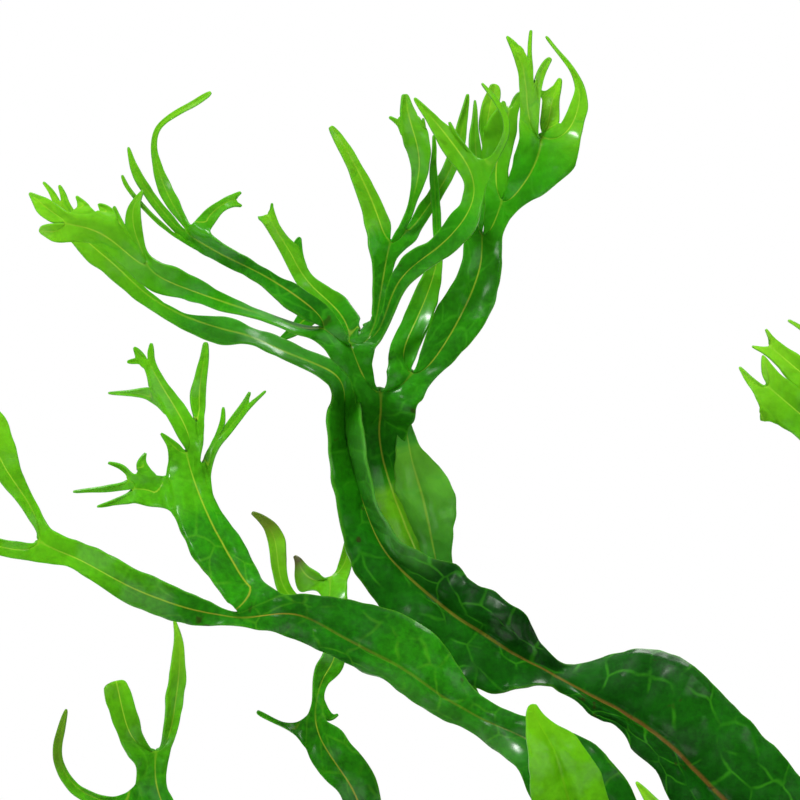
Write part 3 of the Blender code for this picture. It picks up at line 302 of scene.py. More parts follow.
            (597, 925, -140, 22, 22), (590, 880, -185, 32, 32), (580, 840, -218, 38, 38),
            (568, 800, -242, 40, 41), (560, 768, -254, 35, 36), (551, 745, -260, 26, 28),
            (538, 723, -264, 14, 9), (533, 709, -266, 7, 6), (533, 704, -266, 3, 3)]),
    ],
    "frond_finger": [
        ("blade", None, [
            (760, 1030, -12, 5, 5), (754, 990, -50, 5, 5), (734, 935, -110, 8, 8),
            (700, 872, -160, 11, 11), (662, 816, -190, 9, 9), (646, 794, -198, 5, 4),
            (636, 782, -200, 0, 0)]),
    ],
    "frond_right_crown": [
        ("blade", None, [
            (1010, 1030, 8, 6, 6), (1008, 985, 20, 7, 7), (996, 920, 36, 16, 16),
            (978, 840, 50, 34, 36), (955, 760, 58, 46, 48), (930, 680, 62, 48, 50),
            (903, 600, 62, 42, 44), (876, 530, 62, 32, 34), (853, 480, 62, 24, 26),
            (838, 446, 62, 24, 26)]),
        ("hand", "blade end_l", [(815, 425, 60, 22, 16), (790, 405, 56, 20, 20), (771, 390, 54, 17, 17)]),
        ("hand_left", "hand end_l", [(752, 383, 52, 5, 4), (739, 367, 52, 0, 0)]),
        ("hand_right", "hand end_r", [(767, 371, 54, 8, 8), (763, 355, 54, 1, 1)]),
        ("hand_tooth", "hand l2", [(761, 420, 56, 0, 0)]),
        ("top", "blade end_r", [(838, 412, 66, 18, 20)]),
        ("top_left", "top end_l", [(812, 381, 70, 16, 16), (788, 363, 72, 11, 13), (774, 350, 72, 8, 8)]),
        ("top_left_low", "top_left end_l", [(752, 346, 72, 0, 0)]),
        ("top_left_high", "top_left end_r", [(766, 329, 72, 0, 0)]),
        ("top_left_sprig", "top_left r0", [
            (820, 348, 76, 4, 4), (809, 333, 76, 3, 3), (797, 325, 76, 2, 2), (788, 320, 76, 0, 0)]),
        ("top_right", "top end_r", [(856, 380, 70, 12, 12), (866, 345, 72, 12, 12)]),
        ("top_right_low", "top_right end_l", [(858, 318, 72, 5, 5), (846, 290, 72, 0, 0)]),
        ("top_right_high", "top_right end_r", [(880, 318, 72, 5, 5), (884, 282, 72, 0, 0)]),
    ],
}

# The other fronds grow by a rule: foot along the rhizome and off it, heading and lift in degrees, blade
# length and width in mm, how fast it bends, how far it turns, and the seed of its arms
grownHabits = {
    "frond_right_tall": (38, 1, 30, 82, 100, 18, 0.9, 70, 1),
    "frond_right_front": (54, -1, -40, 72, 96, 19, 1.1, -60, 2),
    "frond_right_back": (66, 1, 76, 72, 88, 18, 1.0, 60, 3),
    "frond_right_high": (80, 0, 12, 80, 96, 19, 1.0, -75, 4),
    "frond_right_low": (96, -1, -34, 52, 74, 17, 1.0, 45, 5),
    "frond_right_end": (107, 1, 24, 48, 66, 16, 0.9, 40, 6),
    "frond_right_leaning": (72, -1, -72, 60, 70, 16, 1.1, 50, 13),
    "frond_far_back": (90, 1, 64, 58, 78, 17, 1.0, -50, 14),
    "frond_middle_tall": (46.5, 1, 66, 74, 88, 17, 0.8, 40, 15),
    "frond_middle_front": (6, -1, -70, 66, 84, 17, 1.1, 50, 7),
    "frond_middle_back": (31.5, 1, 92, 56, 84, 17, 1.1, -40, 8),
    "frond_left_back": (-56, 1, 112, 40, 62, 15, 1.2, 25, 9),
    "frond_left_end": (-84, 1, 150, 36, 56, 14, 1.2, -25, 10),
    "frond_left_front": (-84, -1, -128, 36, 56, 14, 1.2, 25, 11),
    "frond_low_front": (-55, -1, -100, 34, 50, 14, 1.2, -25, 12),
}


def spot(x, y, depth):
    back = depth * drawing["step"]
    step = drawing["step"] * (drawing["eye"] + back) / drawing["eye"]  # a deeper point is drawn smaller
    across = (x - drawing["centre"][0]) * step
    up = (drawing["centre"][1] - y) * step
    return Vector((drawing["centreX"] + across, back, drawing["centreZ"] + up))


def halfOf(row, side):
    left, middle, right = row
    return [left, middle, middle] if side > 0 else [middle, middle, right]


def baseOf(origin, ribbons):
    parent, place = origin.split()
    rows = ribbons[parent]
    if place == "end":
        return rows[-1]
    if place in ("end_l", "end_r"):
        return halfOf(rows[-1], 1 if place == "end_l" else -1)
    number = int(place[1:])
    if place[0] == "l":
        return [rows[number][0], rows[number][0], rows[number + 1][0]]
    return [rows[number + 1][2], rows[number][2], rows[number][2]]


# A row is three points, and a point is its place and what the leaf is like there: side is 1 at the
# left margin and -1 at the right, way is the distance from the foot, half is half the blade's width.
def rowPoint(place, side, way, half):
    return {"place": place, "side": side, "way": way, "half": half}


def drawnRows(stations, base, seed):
    rows = [base] if base else []
    start = [tuple((base[0]["flat"][i] + base[2]["flat"][i]) / 2 for i in range(2))] if base else []
    line = start + [station[:2] for station in stations]
    for number, station in enumerate(stations):
        at = number + len(start)
        before = Vector(line[max(at - 1, 0)])
        after = Vector(line[min(at + 1, len(line) - 1)])
        along = (after - before).normalized()
        aside = Vector((along.y, -along.x))
        x, y, depth = station[:3]
        left, right = (reach or drawing["tipReach"] for reach in station[3:5])
        if len(station) > 5:
            leftBack, rightBack = station[5:]
        else:  # the rest folds a little at the midrib and rolls as it runs
            roll = noise.noise(Vector((x / drawing["rollSteps"], y / drawing["rollSteps"], seed)))
            roll *= drawing["roll"]
            leftBack, rightBack = left * (drawing["fold"] + roll), right * (drawing["fold"] - roll)
        flats = [
            (x + aside.x * left, y + aside.y * left, depth + leftBack),
            (x, y, depth),
            (x - aside.x * right, y - aside.y * right, depth + rightBack),
        ]
        middle = spot(*flats[1])
        way = rows[-1][1]["way"] + (middle - rows[-1][1]["place"]).length if rows else 0
        half = (left + right) / 2 * drawing["step"]
        rows.append([dict(rowPoint(spot(*flat), side, way, half), flat=flat)
                     for flat, side in zip(flats, (1, 0, -1))])
    return rows


# Where a drawn frond shows its pale underside to the front (that pale tint is partly a painted sheen, the
# white surroundings reflected), and where it is younger or older than the distance from its foot says (an
# age lowered on halves that face away from the light is painted shade), more or less ribbed, or brown: the
# ribbon, the side (0 is both), the first and last row, what it is there, and how much
seenParts = {
    # Twisted frond: the lowered age on one half in rows 15 to 20 is painted shade; its turned parts' pale
    # tint is partly painted sheen
    "frond_twisted": [("blade", -1, 21, 25, "turned", 0.6), ("blade", 0, 10, 16, "young", -0.05),
                      ("blade", -1, 5, 9, "young", 0.3), ("blade", -1, 15, 20, "young", -0.5),
                      ("blade", 0, 29, 34, "turned", 0.35)],
    # Crested frond: the lowered ages of the reach and the sash are painted shade; the pale tint of its
    # turned flap and sash is partly painted sheen
    "frond_crested": [("flap", 0, 1, 8, "turned", 0.7), ("sash", -1, 3, 7, "turned", 0.2),
                      ("fan", 0, 2, 9, "young", 0.08), ("blade_left", 0, 1, 9, "young", 0.07),
                      ("tongue", 0, 1, 5, "young", 0.1), ("blade", 0, 1, 4, "young", 0.37),
                      ("flap", 0, 1, 6, "young", 0.31), ("sail", 0, 1, 5, "young", -0.04),
                      ("crown", 0, 1, 3, "young", -0.04), ("sash", 0, 1, 6, "young", -0.1),
                      ("reach", 0, 1, 4, "young", -0.12), ("bud", 0, 2, 4, "young", 0.08),
                      ("veil", 0, 1, 4, "young", 0.05)],
    # Reaching frond: the lowered age of rows 14 to 20 is painted shade; the pale tint of its turned lower
    # margin is partly a painted reflection
    "frond_reaching": [("blade", 1, 8, 13, "turned", 0.5), ("blade", 0, 14, 20, "young", -0.2),
                       ("blade", 0, 23, 28, "young", 0.04), ("plume", 0, 1, 4, "young", -0.1),
                       ("blade", 0, 7, 16, "rib", 0.2)],
    "frond_low": [("sickle", 0, 4, 7, "brown", 0.45)],
    "frond_curled": [("finger_left", 0, 4, 5, "brown", 0.7), ("finger_tip", 0, 3, 4, "brown", 0.9)],
}


def drawnFrond(node, ribbonList):
    ribbons = {}
    for name, origin, stations in ribbonList:
        base = baseOf(origin, ribbons) if origin else None
        ribbons[name] = drawnRows(stations, base, len(ribbons) * drawing["rollApart"])
    for name, side, first, last, key, amount in seenParts.get(node, []):
        for row in ribbons[name][first:last + 1]:
            for point in row:
                if side == 0 or point["side"] == side:
                    point[key] = amount
    return list(ribbons.values())


# How a frond grows: each reach is half its width at a step, in mm on the petiole and against half the
# blade's width further on, each fall is how fast it droops, and each share is a length against the blade's
growth = {
    "petiole": 16 * mm, "footReach": 1.0 * mm, "petioleReaches": (1.0, 1.1, 1.8), "petioleFall": 0.03,
    "bladeReaches": (0.62, 0.95, 1.0, 0.9, 0.78), "bladeFall": 0.17,
    "armReaches": (0.42, 0.5, 0.4), "armFall": 0.12, "armShare": 0.34, "armSpread": 0.3,
    "armTurns": (0.75, 1.15), "armLengths": (0.8, 1.2), "armBends": (0.3, 1.4),
    "fingerReaches": (0.2, 0.13, 0.0), "fingerFall": 0.1, "fingerShare": 0.24, "fingerSpread": 0.15,
    "fingerTurns": (0.6, 1.2), "fingerLengths": (0.7, 1.25), "fingerBends": (-0.6, 1.0),
    "forkAngle": math.radians(27),
    "twistSteps": 8,            # its turn is shared out over so many steps
    "sway": 0.16,               # how far its heading may turn at each step, in radians
    "wave": 1.6 * mm,           # how far its margins rise and fall by turns
}


# A growing point: its place, the way it heads, the way its width lies, and its distance from the foot
class Growth:
    def __init__(self, place, along, across, way):
        self.place = place.copy()
        self.along = along.normalized()
        self.across = (across - self.along * across.dot(self.along)).normalized()
        self.way = way

    def step(self, length, fall, turn, sway=0.0):
        self.along.rotate(Matrix.Rotation(sway, 3, "Z"))
        self.along = (self.along + Vector((0, 0, -fall))).normalized()
        self.across = (self.across - self.along * self.across.dot(self.along)).normalized()
        self.across.rotate(Matrix.Rotation(turn, 3, self.along))
        self.place += self.along * length
        self.way += length

    def row(self, reach, wave=0.0):
        over = self.along.cross(self.across) * wave
        places = (self.place + self.across * reach + over, self.place.copy(),
                  self.place - self.across * reach - over)
        return [rowPoint(place, side, self.way, reach) for place, side in zip(places, (1, 0, -1))]

    def fork(self, angle):
        along = self.along * math.cos(angle) + self.across * math.sin(angle)
        across = self.across * math.cos(angle) - self.along * math.sin(angle)
        return Growth(self.place, along, across, self.way)


def grownArm(kind, chance, stem, base, side, half, length, bend, twist):
    arm = stem.fork(side * growth["forkAngle"] * chance.uniform(*growth[kind + "Turns"]))
    arm.place += arm.across * side * half * growth[kind + "Spread"]
    reaches = growth[kind + "Reaches"]
    step = length * growth[kind + "Share"] * chance.uniform(*growth[kind + "Lengths"]) / len(reaches)
    rows = [halfOf(base, side)]
    for reach in reaches:
        arm.step(step, growth[kind + "Fall"] * bend * chance.uniform(*growth[kind + "Bends"]), twist)
        rows.append(arm.row(half * reach))
    return arm, rows


def grownFrond(foot, aside, heading, lift, length, width, bend, turn, seed):
    chance = random.Random(seed)
    heading = math.radians(heading)
    lift = math.radians(lift)
    out = Vector((math.cos(heading), math.sin(heading), 0))
    along = out * math.cos(lift) + Vector((0, 0, math.sin(lift)))
    tip = Growth(Vector((foot * mm, aside * mm, frondFoot)), along, Vector((-out.y, out.x, 0)), 0)
    length *= mm
    half = width * mm / 2
    twist = math.radians(turn) / growth["twistSteps"]
    sway = chance.uniform(-growth["sway"], growth["sway"])
    rows = [tip.row(growth["footReach"])]
    for reach in growth["petioleReaches"]:
        tip.step(growth["petiole"] / len(growth["petioleReaches"]), growth["petioleFall"] * bend, 0)
        rows.append(tip.row(reach * mm))
    for number, reach in enumerate(growth["bladeReaches"]):
        tip.step(length / len(growth["bladeReaches"]), growth["bladeFall"] * bend, twist, sway)
        rows.append(tip.row(half * reach, growth["wave"] * (-1) ** number))
    ribbons = [rows]
    for side in (1, -1):
        arm, armRows = grownArm("arm", chance, tip, rows[-1], side, half, length, bend, twist * side)
        ribbons.append(armRows)
        for way in (1, -1):
            ribbons.append(grownArm("finger", chance, arm, armRows[-1], way, half, length, bend, 0)[1])
    return ribbons


def activate(piece, *others):
    bpy.ops.object.select_all(action="DESELECT")
    for selected in (piece, *others):
        selected.select_set(True)
    bpy.context.view_layer.objects.active = piece


def join(pieces):
    activate(*pieces)
    if len(pieces) > 1:
        bpy.ops.object.join()
    return pieces[0]


def mergePoints(piece, near, fill=False, outwards=False):
    activate(piece)
    bpy.ops.object.mode_set(mode="EDIT")
    bpy.ops.mesh.select_all(action="SELECT")
    bpy.ops.mesh.remove_doubles(threshold=near)
    if fill:
        bpy.ops.mesh.fill_holes(sides=0)
    if outwards:
        bpy.ops.mesh.normals_make_consistent(inside=False)
    bpy.ops.object.mode_set(mode="OBJECT")


def packedCopy(name, nodes):
    copies = []
    for node in nodes:
        copy = bpy.data.objects.new(name, frame["nodes"][node].data.copy())
        bpy.context.scene.collection.objects.link(copy)
        copies.append(copy)
    piece = join(copies)
    mergePoints(piece, packedNear)
    return piece


def normalsOf(mesh):
    return [corner.vector.copy() for corner in mesh.vertex_normals]


def clipped(value):
    return min(1.0, max(0.0, value))


def applyModifier(piece, kind, **settings):
    activate(piece)
    modifier = piece.modifiers.new(kind.lower(), kind)
    for name, value in settings.items():
        setattr(modifier, name, value)
    bpy.ops.object.modifier_apply(modifier=modifier.name)


leafForm = {
    "subdivisions": 3,
    "mergeNear": 0.001 * mm,    # where two ribbons meet
    "thickness": 1.3 * mm,      # of the petiole and the midrib's foot
    "bladeShare": 0.27,         # the blade's thickness against that
    "ribHalf": 0.9 * mm, "ribStout": 0.55,      # the midrib's swelling to each side, and how stout it is
    "ribBlade": 3 * mm,         # half width at which it is full
    "petioleHalf": 1.4 * mm, "petioleLength": 60 * mm,  # over which a petiole gets thinner
    "camber": 0.24, "deepestCamber": 1.8 * mm,  # how far each half bows up, against its width, and at most
    "bow": 0.8,                 # under 1, the bow's crest lies nearer to the midrib
    "flatHalf": 5 * mm,         # narrower blades bow less
    "forkRib": 0.3,             # how much of the midrib shows where a blade forks
    "bulge": 0.4 * mm, "bulgeSize": 6 * mm,     # how far the blade swells between its veins
    "wave": 2.4 * mm, "waveLength": 6 * mm,     # how far the margin waves
    "wideHalf": 7 * mm,         # half width at which both are full
    "ruffle": 0.3 * mm, "ruffleSize": 2.6 * mm,     # how far the margin wanders in and out
    "ruffleHalf": 2 * mm,       # half width at which that is full
    "narrowHalf": 2 * mm,       # a blade under this half width counts as petiole near its foot
    "sink": 2.2 * mm,           # how far the foot goes down into the rhizome
    "apart": 100,               # mm between two leaves' places in the drawn net
    "phase": 1.7,               # between two leaves' places in the noise of their waves
    "seed": 7,                  # of the ruffle
}


def sheetOf(name, ribbons):
    foot = ribbons[0][0]
    sunk = [dict(point, place=point["place"] - Vector((0, 0, leafForm["sink"]))) for point in foot]
    ribbons = [[sunk, *ribbons[0]], *ribbons[1:]]
    longest = max(point["way"] for rows in ribbons for row in rows for point in row)
    sheets = []
    for rows in ribbons[1:]:
        for point in rows[0]:
            point["rib"] = leafForm["forkRib"]
    for rows in ribbons:
        bpy.ops.mesh.primitive_grid_add(x_subdivisions=2, y_subdivisions=len(rows) - 1, size=1)
        sheet = bpy.context.object
        points = [point for row in rows for point in row]
        for point in points:
            # A shifted age reads as younger or older tissue; where it was lowered on halves that face away
            # from the light, it is painted shade
            point["age"] = point["way"] / longest + point.get("young", 0)
            for key, usual in (("turned", 0), ("brown", 0), ("rib", 1)):
                point.setdefault(key, usual)
        for vertex, point in zip(sheet.data.vertices, points):
            vertex.co = sheet.matrix_world.inverted() @ point["place"]
        for key in ("side", "way", "half", "age", "turned", "rib", "brown"):
            values = sheet.data.attributes.new(key, "FLOAT", "POINT").data
            values.foreach_set("value", [point[key] for point in points])
        sheets.append(sheet)
    piece = join(sheets)
    piece.name = name
    mergePoints(piece, leafForm["mergeNear"], outwards=True)
    facing = sum((face.normal.y - 0.5 * face.normal.z) * face.area for face in piece.data.polygons)
    if facing > 0:  # the upper face of a leaf looks to the front and up
        piece.data.flip_normals()
    return piece


def attributeValues(piece, key):
    return [entry.value for entry in piece.data.attributes[key].data]


def leafFrom(name, ribbons, phase):
    piece = sheetOf(name, ribbons)
    levels = leafForm["subdivisions"]
    applyModifier(piece, "SUBSURF", levels=levels, render_levels=levels)
    mesh = piece.data
    sides, ways, halves = (attributeValues(piece, key) for key in ("side", "way", "half"))
    stout = piece.vertex_groups.new(name="stout")
    for vertex, normal, side, way, half in zip(mesh.vertices, normalsOf(mesh), sides, ways, halves):
        out = min(1.0, abs(side))
        wide = min(1.0, half / leafForm["wideHalf"]) ** 2
        camber = min(leafForm["camber"] * half, leafForm["deepestCamber"])
        camber *= math.sin(math.pi * out ** leafForm["bow"])
        camber *= min(1.0, half / leafForm["flatHalf"])
        cells = noise.voronoi(vertex.co / leafForm["bulgeSize"])[0]
        swell = min(1.0, (cells[1] - cells[0]) * 2.5) - 0.5
        wave = noise.noise(Vector((way / leafForm["waveLength"], phase, (side > 0) * 9))) * out ** 2
        ruffle = noise.noise_vector(vertex.co / leafForm["ruffleSize"]) * leafForm["ruffle"] * out ** 3
        ruffle *= min(1.0, half / leafForm["ruffleHalf"])
        rise = camber + (leafForm["bulge"] * swell + leafForm["wave"] * wave) * wide
        vertex.co += normal * rise + ruffle
        petiole = 1 - clipped(half / leafForm["petioleHalf"] - 1)
        petiole *= 1 - min(1.0, way / leafForm["petioleLength"]) if half < leafForm["narrowHalf"] else 0.0
        ribbed = max(0.0, 1 - out * half / leafForm["ribHalf"]) * min(1.0, half / leafForm["ribBlade"])
        stout.add([vertex.index], max(ribbed * leafForm["ribStout"], petiole), "REPLACE")
    # The net of veins is drawn on the leaf as if it lay flat, with its midrib along x
    flat = mesh.attributes.new("flat", "FLOAT_VECTOR", "POINT").data
    for entry, side, way, half in zip(flat, sides, ways, halves):
        entry.vector = (way + phase * leafForm["apart"] * mm, side * half, 0)
    front = len(mesh.vertices)
    applyModifier(piece, "SOLIDIFY", thickness=leafForm["thickness"], offset=0, vertex_group="stout",
                  thickness_vertex_group=leafForm["bladeShare"])
    # The back takes the pale underside tint, and so does the front of a turned part, where it is partly a
    # painted sheen
    under = piece.data.attributes.new("under", "FLOAT", "POINT").data
    for number, turned in enumerate(attributeValues(piece, "turned")):
        under[number].value = turned if number < front else 1 - turned
    activate(piece)
    bpy.ops.object.shade_smooth()
    return piece


def linear(hexColour):
    channels = [int(hexColour[place:place + 2], 16) / 255 for place in (1, 3, 5)]
    return (*[c / 12.92 if c <= 0.04045 else ((c + 0.055) / 1.055) ** 2.4 for c in channels], 1)


def wire(node, values=None, links=None):
    for name, value in (values or {}).items():
        node.inputs[name].default_value = value
    for name, source in (links or {}).items():  # a node stands for its first output
        socket = source.outputs[0] if isinstance(source, bpy.types.Node) else source
        node.id_data.links.new(socket, node.inputs[name])


def addNode(material, kind, values=None, links=None, stops=None, **settings):
    node = material.node_tree.nodes.new("ShaderNode" + kind)
    for name, value in settings.items():
        setattr(node, name, value)
    wire(node, values, links)
    if stops:
        ramp = node.color_ramp
        while len(ramp.elements) < len(stops):
            ramp.elements.new(0.5)
        for element, (place, colour) in zip(ramp.elements, stops.items()):
            element.position = place
            element.color = linear(colour)
    return node


def newMaterial(name):
    material = bpy.data.materials.new(name)
    material.use_nodes = True
    return material, material.node_tree.nodes["Principled BSDF"], partial(addNode, material)


# Wet fern leaf: a waxy skin over thin green tissue. Lit through, with a broken net of paler veins, a yellow
# to brown midrib, fine mottling and a few dark spots, under water that stands on it in glossy patches.
# The underside is paler and greyer. Where a turned part shows it at the front, the pale tint is partly a
# painted sheen.
leafLook = {
    "netMesh": 3.8 * mm, "netLength": 1.6,      # the width of a mesh, and its length against that
    "crook": 1.6 * mm, "crookSize": 4 * mm,     # how far the net is drawn astray, and over what length
    "veinHalf": 0.1 * mm, "veinBreak": 5 * mm,  # half a vein's width, and the size of the net's gaps
    "ribHalf": 0.14 * mm, "ribShare": 0.022,    # half the midrib's width, and what half the blade's adds
    "ribBlade": (0.5 * mm, 1.8 * mm),           # half widths between which the midrib comes to show
    "marginWidth": 0.25 * mm,
    "patch": 9 * mm, "mottle": 1.0 * mm, "spot": 3.2 * mm, "filmPatch": 6 * mm,
    "quiltDepth": 0.35 * mm, "skinDepth": 0.12 * mm,
    "greenStops": (0.25, 0.6, 0.84, 1.0), "ribStops": (0.3, 0.62, 0.9),     # ages of the colours below
    "rim": "#5AA81C", "pale": "#5C9E46", "speck": "#2A2408", "withered": "#4E3C1C",
}
leafKinds = {
    "frond_dark": {
        "name": "oldWetLeaf", "greens": ("#064002", "#125C03", "#2E8C05", "#7CC41C"),
        "ribs": ("#6E4A1C", "#8A9426", "#A4CC34"), "vein": "#3C9A14", "veins": 0.4, "spots": 0.7},
    "frond_green": {
        "name": "wetLeaf", "greens": ("#105A03", "#288204", "#58A80A", "#86C824"),
        "ribs": ("#A8842C", "#9CBC2A", "#A8D43A"), "vein": "#62B41C", "veins": 0.22, "spots": 0.7},
    "frond_bright": {
        "name": "youngWetLeaf", "greens": ("#4E9A05", "#52A005", "#58A406", "#68B00C"),
        "ribs": ("#5EA608", "#60A808", "#6CB40C"), "vein": "#66B012", "veins": 0.1, "spots": 0.0},
}


def leafMaterial(look):
    material, skin, add = newMaterial(look["name"])
    place = add("TexCoord").outputs["Object"]
    flat = add("Attribute", attribute_name="flat").outputs["Vector"]
    age, side, half, under, rib, brown = (
        add("Attribute", attribute_name=key).outputs["Fac"]
        for key in ("age", "side", "half", "under", "rib", "brown"))
    patches, fine, breaks, specks, film = (
        add("TexNoise", {"Scale": 1 / leafLook[size], "Detail": detail, "Roughness": rough}, {0: place})
        for size, detail, rough in (("patch", 2, 0.5), ("mottle", 3, 0.6), ("veinBreak", 2, 0.5),
                                    ("spot", 2, 0.5), ("filmPatch", 3, 0.5)))
    # Greens darken as the age falls; where the age was lowered on halves facing away from the light, the
    # darker green is painted shade
    green, ribColour = (
        add("ValToRGB", links={0: age}, stops=dict(zip(leafLook[stops], look[colours])))
        for stops, colours in (("greenStops", "greens"), ("ribStops", "ribs")))
    # Mottling and spots fade towards the young tips
    tones = add("Math", links={0: patches, 1: fine}, operation="ADD")
    shade = add("MapRange", {1: 0.7, 2: 1.3, 3: 0.6, 4: 1.4}, {0: tones})
    grown = add("MapRange", {1: 0.6, 2: 0.9, 3: 1, 4: 0.3}, {0: age})
    evened = add("Mix", {2: 1.0}, {0: grown, 3: shade})
    mottled = add("VectorMath", links={0: green, 3: evened}, operation="SCALE")
    spots = add("MapRange", {1: 0.71, 2: 0.75, 3: 0, 4: look["spots"]}, {0: specks})
    oldSpots = add("Math", links={0: spots, 1: grown}, operation="MULTIPLY")
    # The net is drawn a little crooked, and fades out where its own noise is low
    crooked = add("TexNoise", {"Scale": 1 / leafLook["crookSize"], "Detail": 1}, {0: flat})
    shift = add("VectorMath", {1: (leafLook["crook"],) * 3, 2: (-leafLook["crook"] / 2,) * 3},
                {0: crooked.outputs["Color"]}, operation="MULTIPLY_ADD")
    netPlace = add("VectorMath", {1: (1 / leafLook["netLength"], 1, 1)}, {0: flat, 2: shift},
                   operation="MULTIPLY_ADD")
    net = add("TexVoronoi", {"Scale": 1 / leafLook["netMesh"]}, {0: netPlace},
              feature="DISTANCE_TO_EDGE", voronoi_dimensions="2D")
    veinEdge = leafLook["veinHalf"] / leafLook["netMesh"]
    veins = add("MapRange", {1: veinEdge * 0.2, 2: veinEdge * 2.6, 3: 1, 4: 0}, {0: net},
                interpolation_type="SMOOTHSTEP")
    broken = add("MapRange", {1: 0.4, 2: 0.6, 3: 0, 4: look["veins"]}, {0: breaks})
    veinMask = add("Math", links={0: veins, 1: broken}, operation="MULTIPLY")
    # Metres from the midrib and from the margin
    apart = add("Math", links={0: side}, operation="ABSOLUTE")
    fromRib = add("Math", links={0: apart, 1: half}, operation="MULTIPLY")
    fromMargin = add("Math", links={0: half, 1: fromRib}, operation="SUBTRACT")
    ribWidth = add("Math", {1: leafLook["ribShare"], 2: leafLook["ribHalf"]}, {0: half},
                   operation="MULTIPLY_ADD")
    inRib = add("Math", links={0: fromRib, 1: ribWidth}, operation="DIVIDE")
    ribLine = add("MapRange", {1: 0.3, 2: 1.6, 3: 0.75, 4: 0}, {0: inRib}, interpolation_type="SMOOTHSTEP")
    ribShows = add("MapRange", {1: leafLook["ribBlade"][0], 2: leafLook["ribBlade"][1]}, {0: half})
    ribSeen = add("Math", links={0: ribLine, 1: ribShows}, operation="MULTIPLY")
    ribMask = add("Math", links={0: ribSeen, 1: rib}, operation="MULTIPLY")
    marginMask = add("MapRange", {1: 0, 2: leafLook["marginWidth"], 3: 0.25, 4: 0}, {0: fromMargin})
    # The pale underside tint; on the front of turned parts it is partly a painted sheen of the white
    # surroundings
    underAndSheenMask = add("Math", {1: 0.5}, {0: under}, operation="MULTIPLY")
    # Each colour lies over the last
    veined = add("Mix", {7: linear(look["vein"])}, {0: veinMask, 6: mottled}, data_type="RGBA")
    ribbed = add("Mix", links={0: ribMask, 6: veined.outputs[2], 7: ribColour}, data_type="RGBA")
    colour = ribbed.outputs[2]
    for mask, tint in ((marginMask, "rim"), (underAndSheenMask, "pale"), (oldSpots, "speck"), (brown, "withered")):
        mixed = add("Mix", {7: linear(leafLook[tint])}, {0: mask, 6: colour}, data_type="RGBA")
        colour = mixed.outputs[2]
    # The skin swells between the veins
    quilt = add("MapRange", {1: 0, 2: 0.35}, {0: net}, interpolation_type="SMOOTHSTEP")
    quiltBump = add("Bump", {"Strength": 0.5, "Distance": leafLook["quiltDepth"]}, {"Height": quilt})
    skinBump = add("Bump", {"Strength": 0.35, "Distance": leafLook["skinDepth"]},
                   {"Height": fine, "Normal": quiltBump})
    wet = add("MapRange", {1: 0.5, 2: 0.62, 3: 0.0, 4: 1.0}, {0: film})
    wire(skin, {"IOR": 1.42, "Specular IOR Level": 0.08, "Roughness": 0.6,
                "Coat Roughness": 0.2, "Coat IOR": 1.33, "Subsurface Weight": 0.3,
                "Subsurface Radius": (0.5, 1.0, 0.05), "Subsurface Scale": 0.8 * mm},
         {"Base Color": colour, "Coat Weight": wet, "Normal": skinBump})
    return material


leafMaterials = {slot: leafMaterial(look) for slot, look in leafKinds.items()}
slotOf = {part["node"]: part["material_slot"] for part in frame["record"]["subparts"]}


def dress(piece, material, slot, *nodes):
    piece.data.materials.clear()
    piece.data.materials.append(material)
    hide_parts(*nodes)
    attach(piece, "root")


def pieceName(node):
    words = node.split("_")
    return words[0] + "".join(word.capitalize() for word in words[1:])


allFronds = {node: drawnFrond(node, ribbonList) for node, ribbonList in frondDrawings.items()}
allFronds.update({node: grownFrond(*habit) for node, habit in grownHabits.items()})
noise.seed_set(leafForm["seed"])
for number, (node, ribbons) in enumerate(allFronds.items()):
    leaf = leafFrom(pieceName(node), ribbons, number * leafForm["phase"])
    dress(leaf, leafMaterials[slotOf[node]], slotOf[node], node)
print("fronds:", len(allFronds))

# Driftwood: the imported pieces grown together, then weathered along the run of each limb
woodForm = {
    "cell": 0.95 * mm,
    "soften": 8,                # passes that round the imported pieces' faces off
    "sampleStep": 4 * mm, "nearest": 14,    # steps along a limb's run, and how many of them a point looks at
    "blend": 9 * mm,            # over which one limb's grain passes into the next one's
    "twist": 9,                 # of the strands around a limb, in radians per metre
    "wander": 0.5, "wanderTurns": 30,       # how far and how often strands stray
    # Noise along the grain: per metre along the limb, around it, and where it starts
    "flutes": (11, 1.7), "ridges": (22, 7), "seams": (14, 2.6, 5, 3),
    "flute": 2.4 * mm, "fluteRadius": 16 * mm,      # depth of the long hollows, less on a thinner limb
    "ridge": 0.8 * mm,
    "crack": 1.9 * mm, "crackWidth": 0.055, "crackTurns": 28,
    "knotDepth": 1.3 * mm, "knotReach": 1.6, "knotTurn": 6.5,
    "calmBelow": 1.0 * mm, "calmOver": 3.0 * mm,    # the underside is left flat this far up
    "calmTop": 40 * mm, "crestOver": 5 * mm, "crestHalf": 14 * mm,  # and the crest calm under the rhizome
    "crestCalm": 0.75,
    "shrink": 0.6 * mm,
}
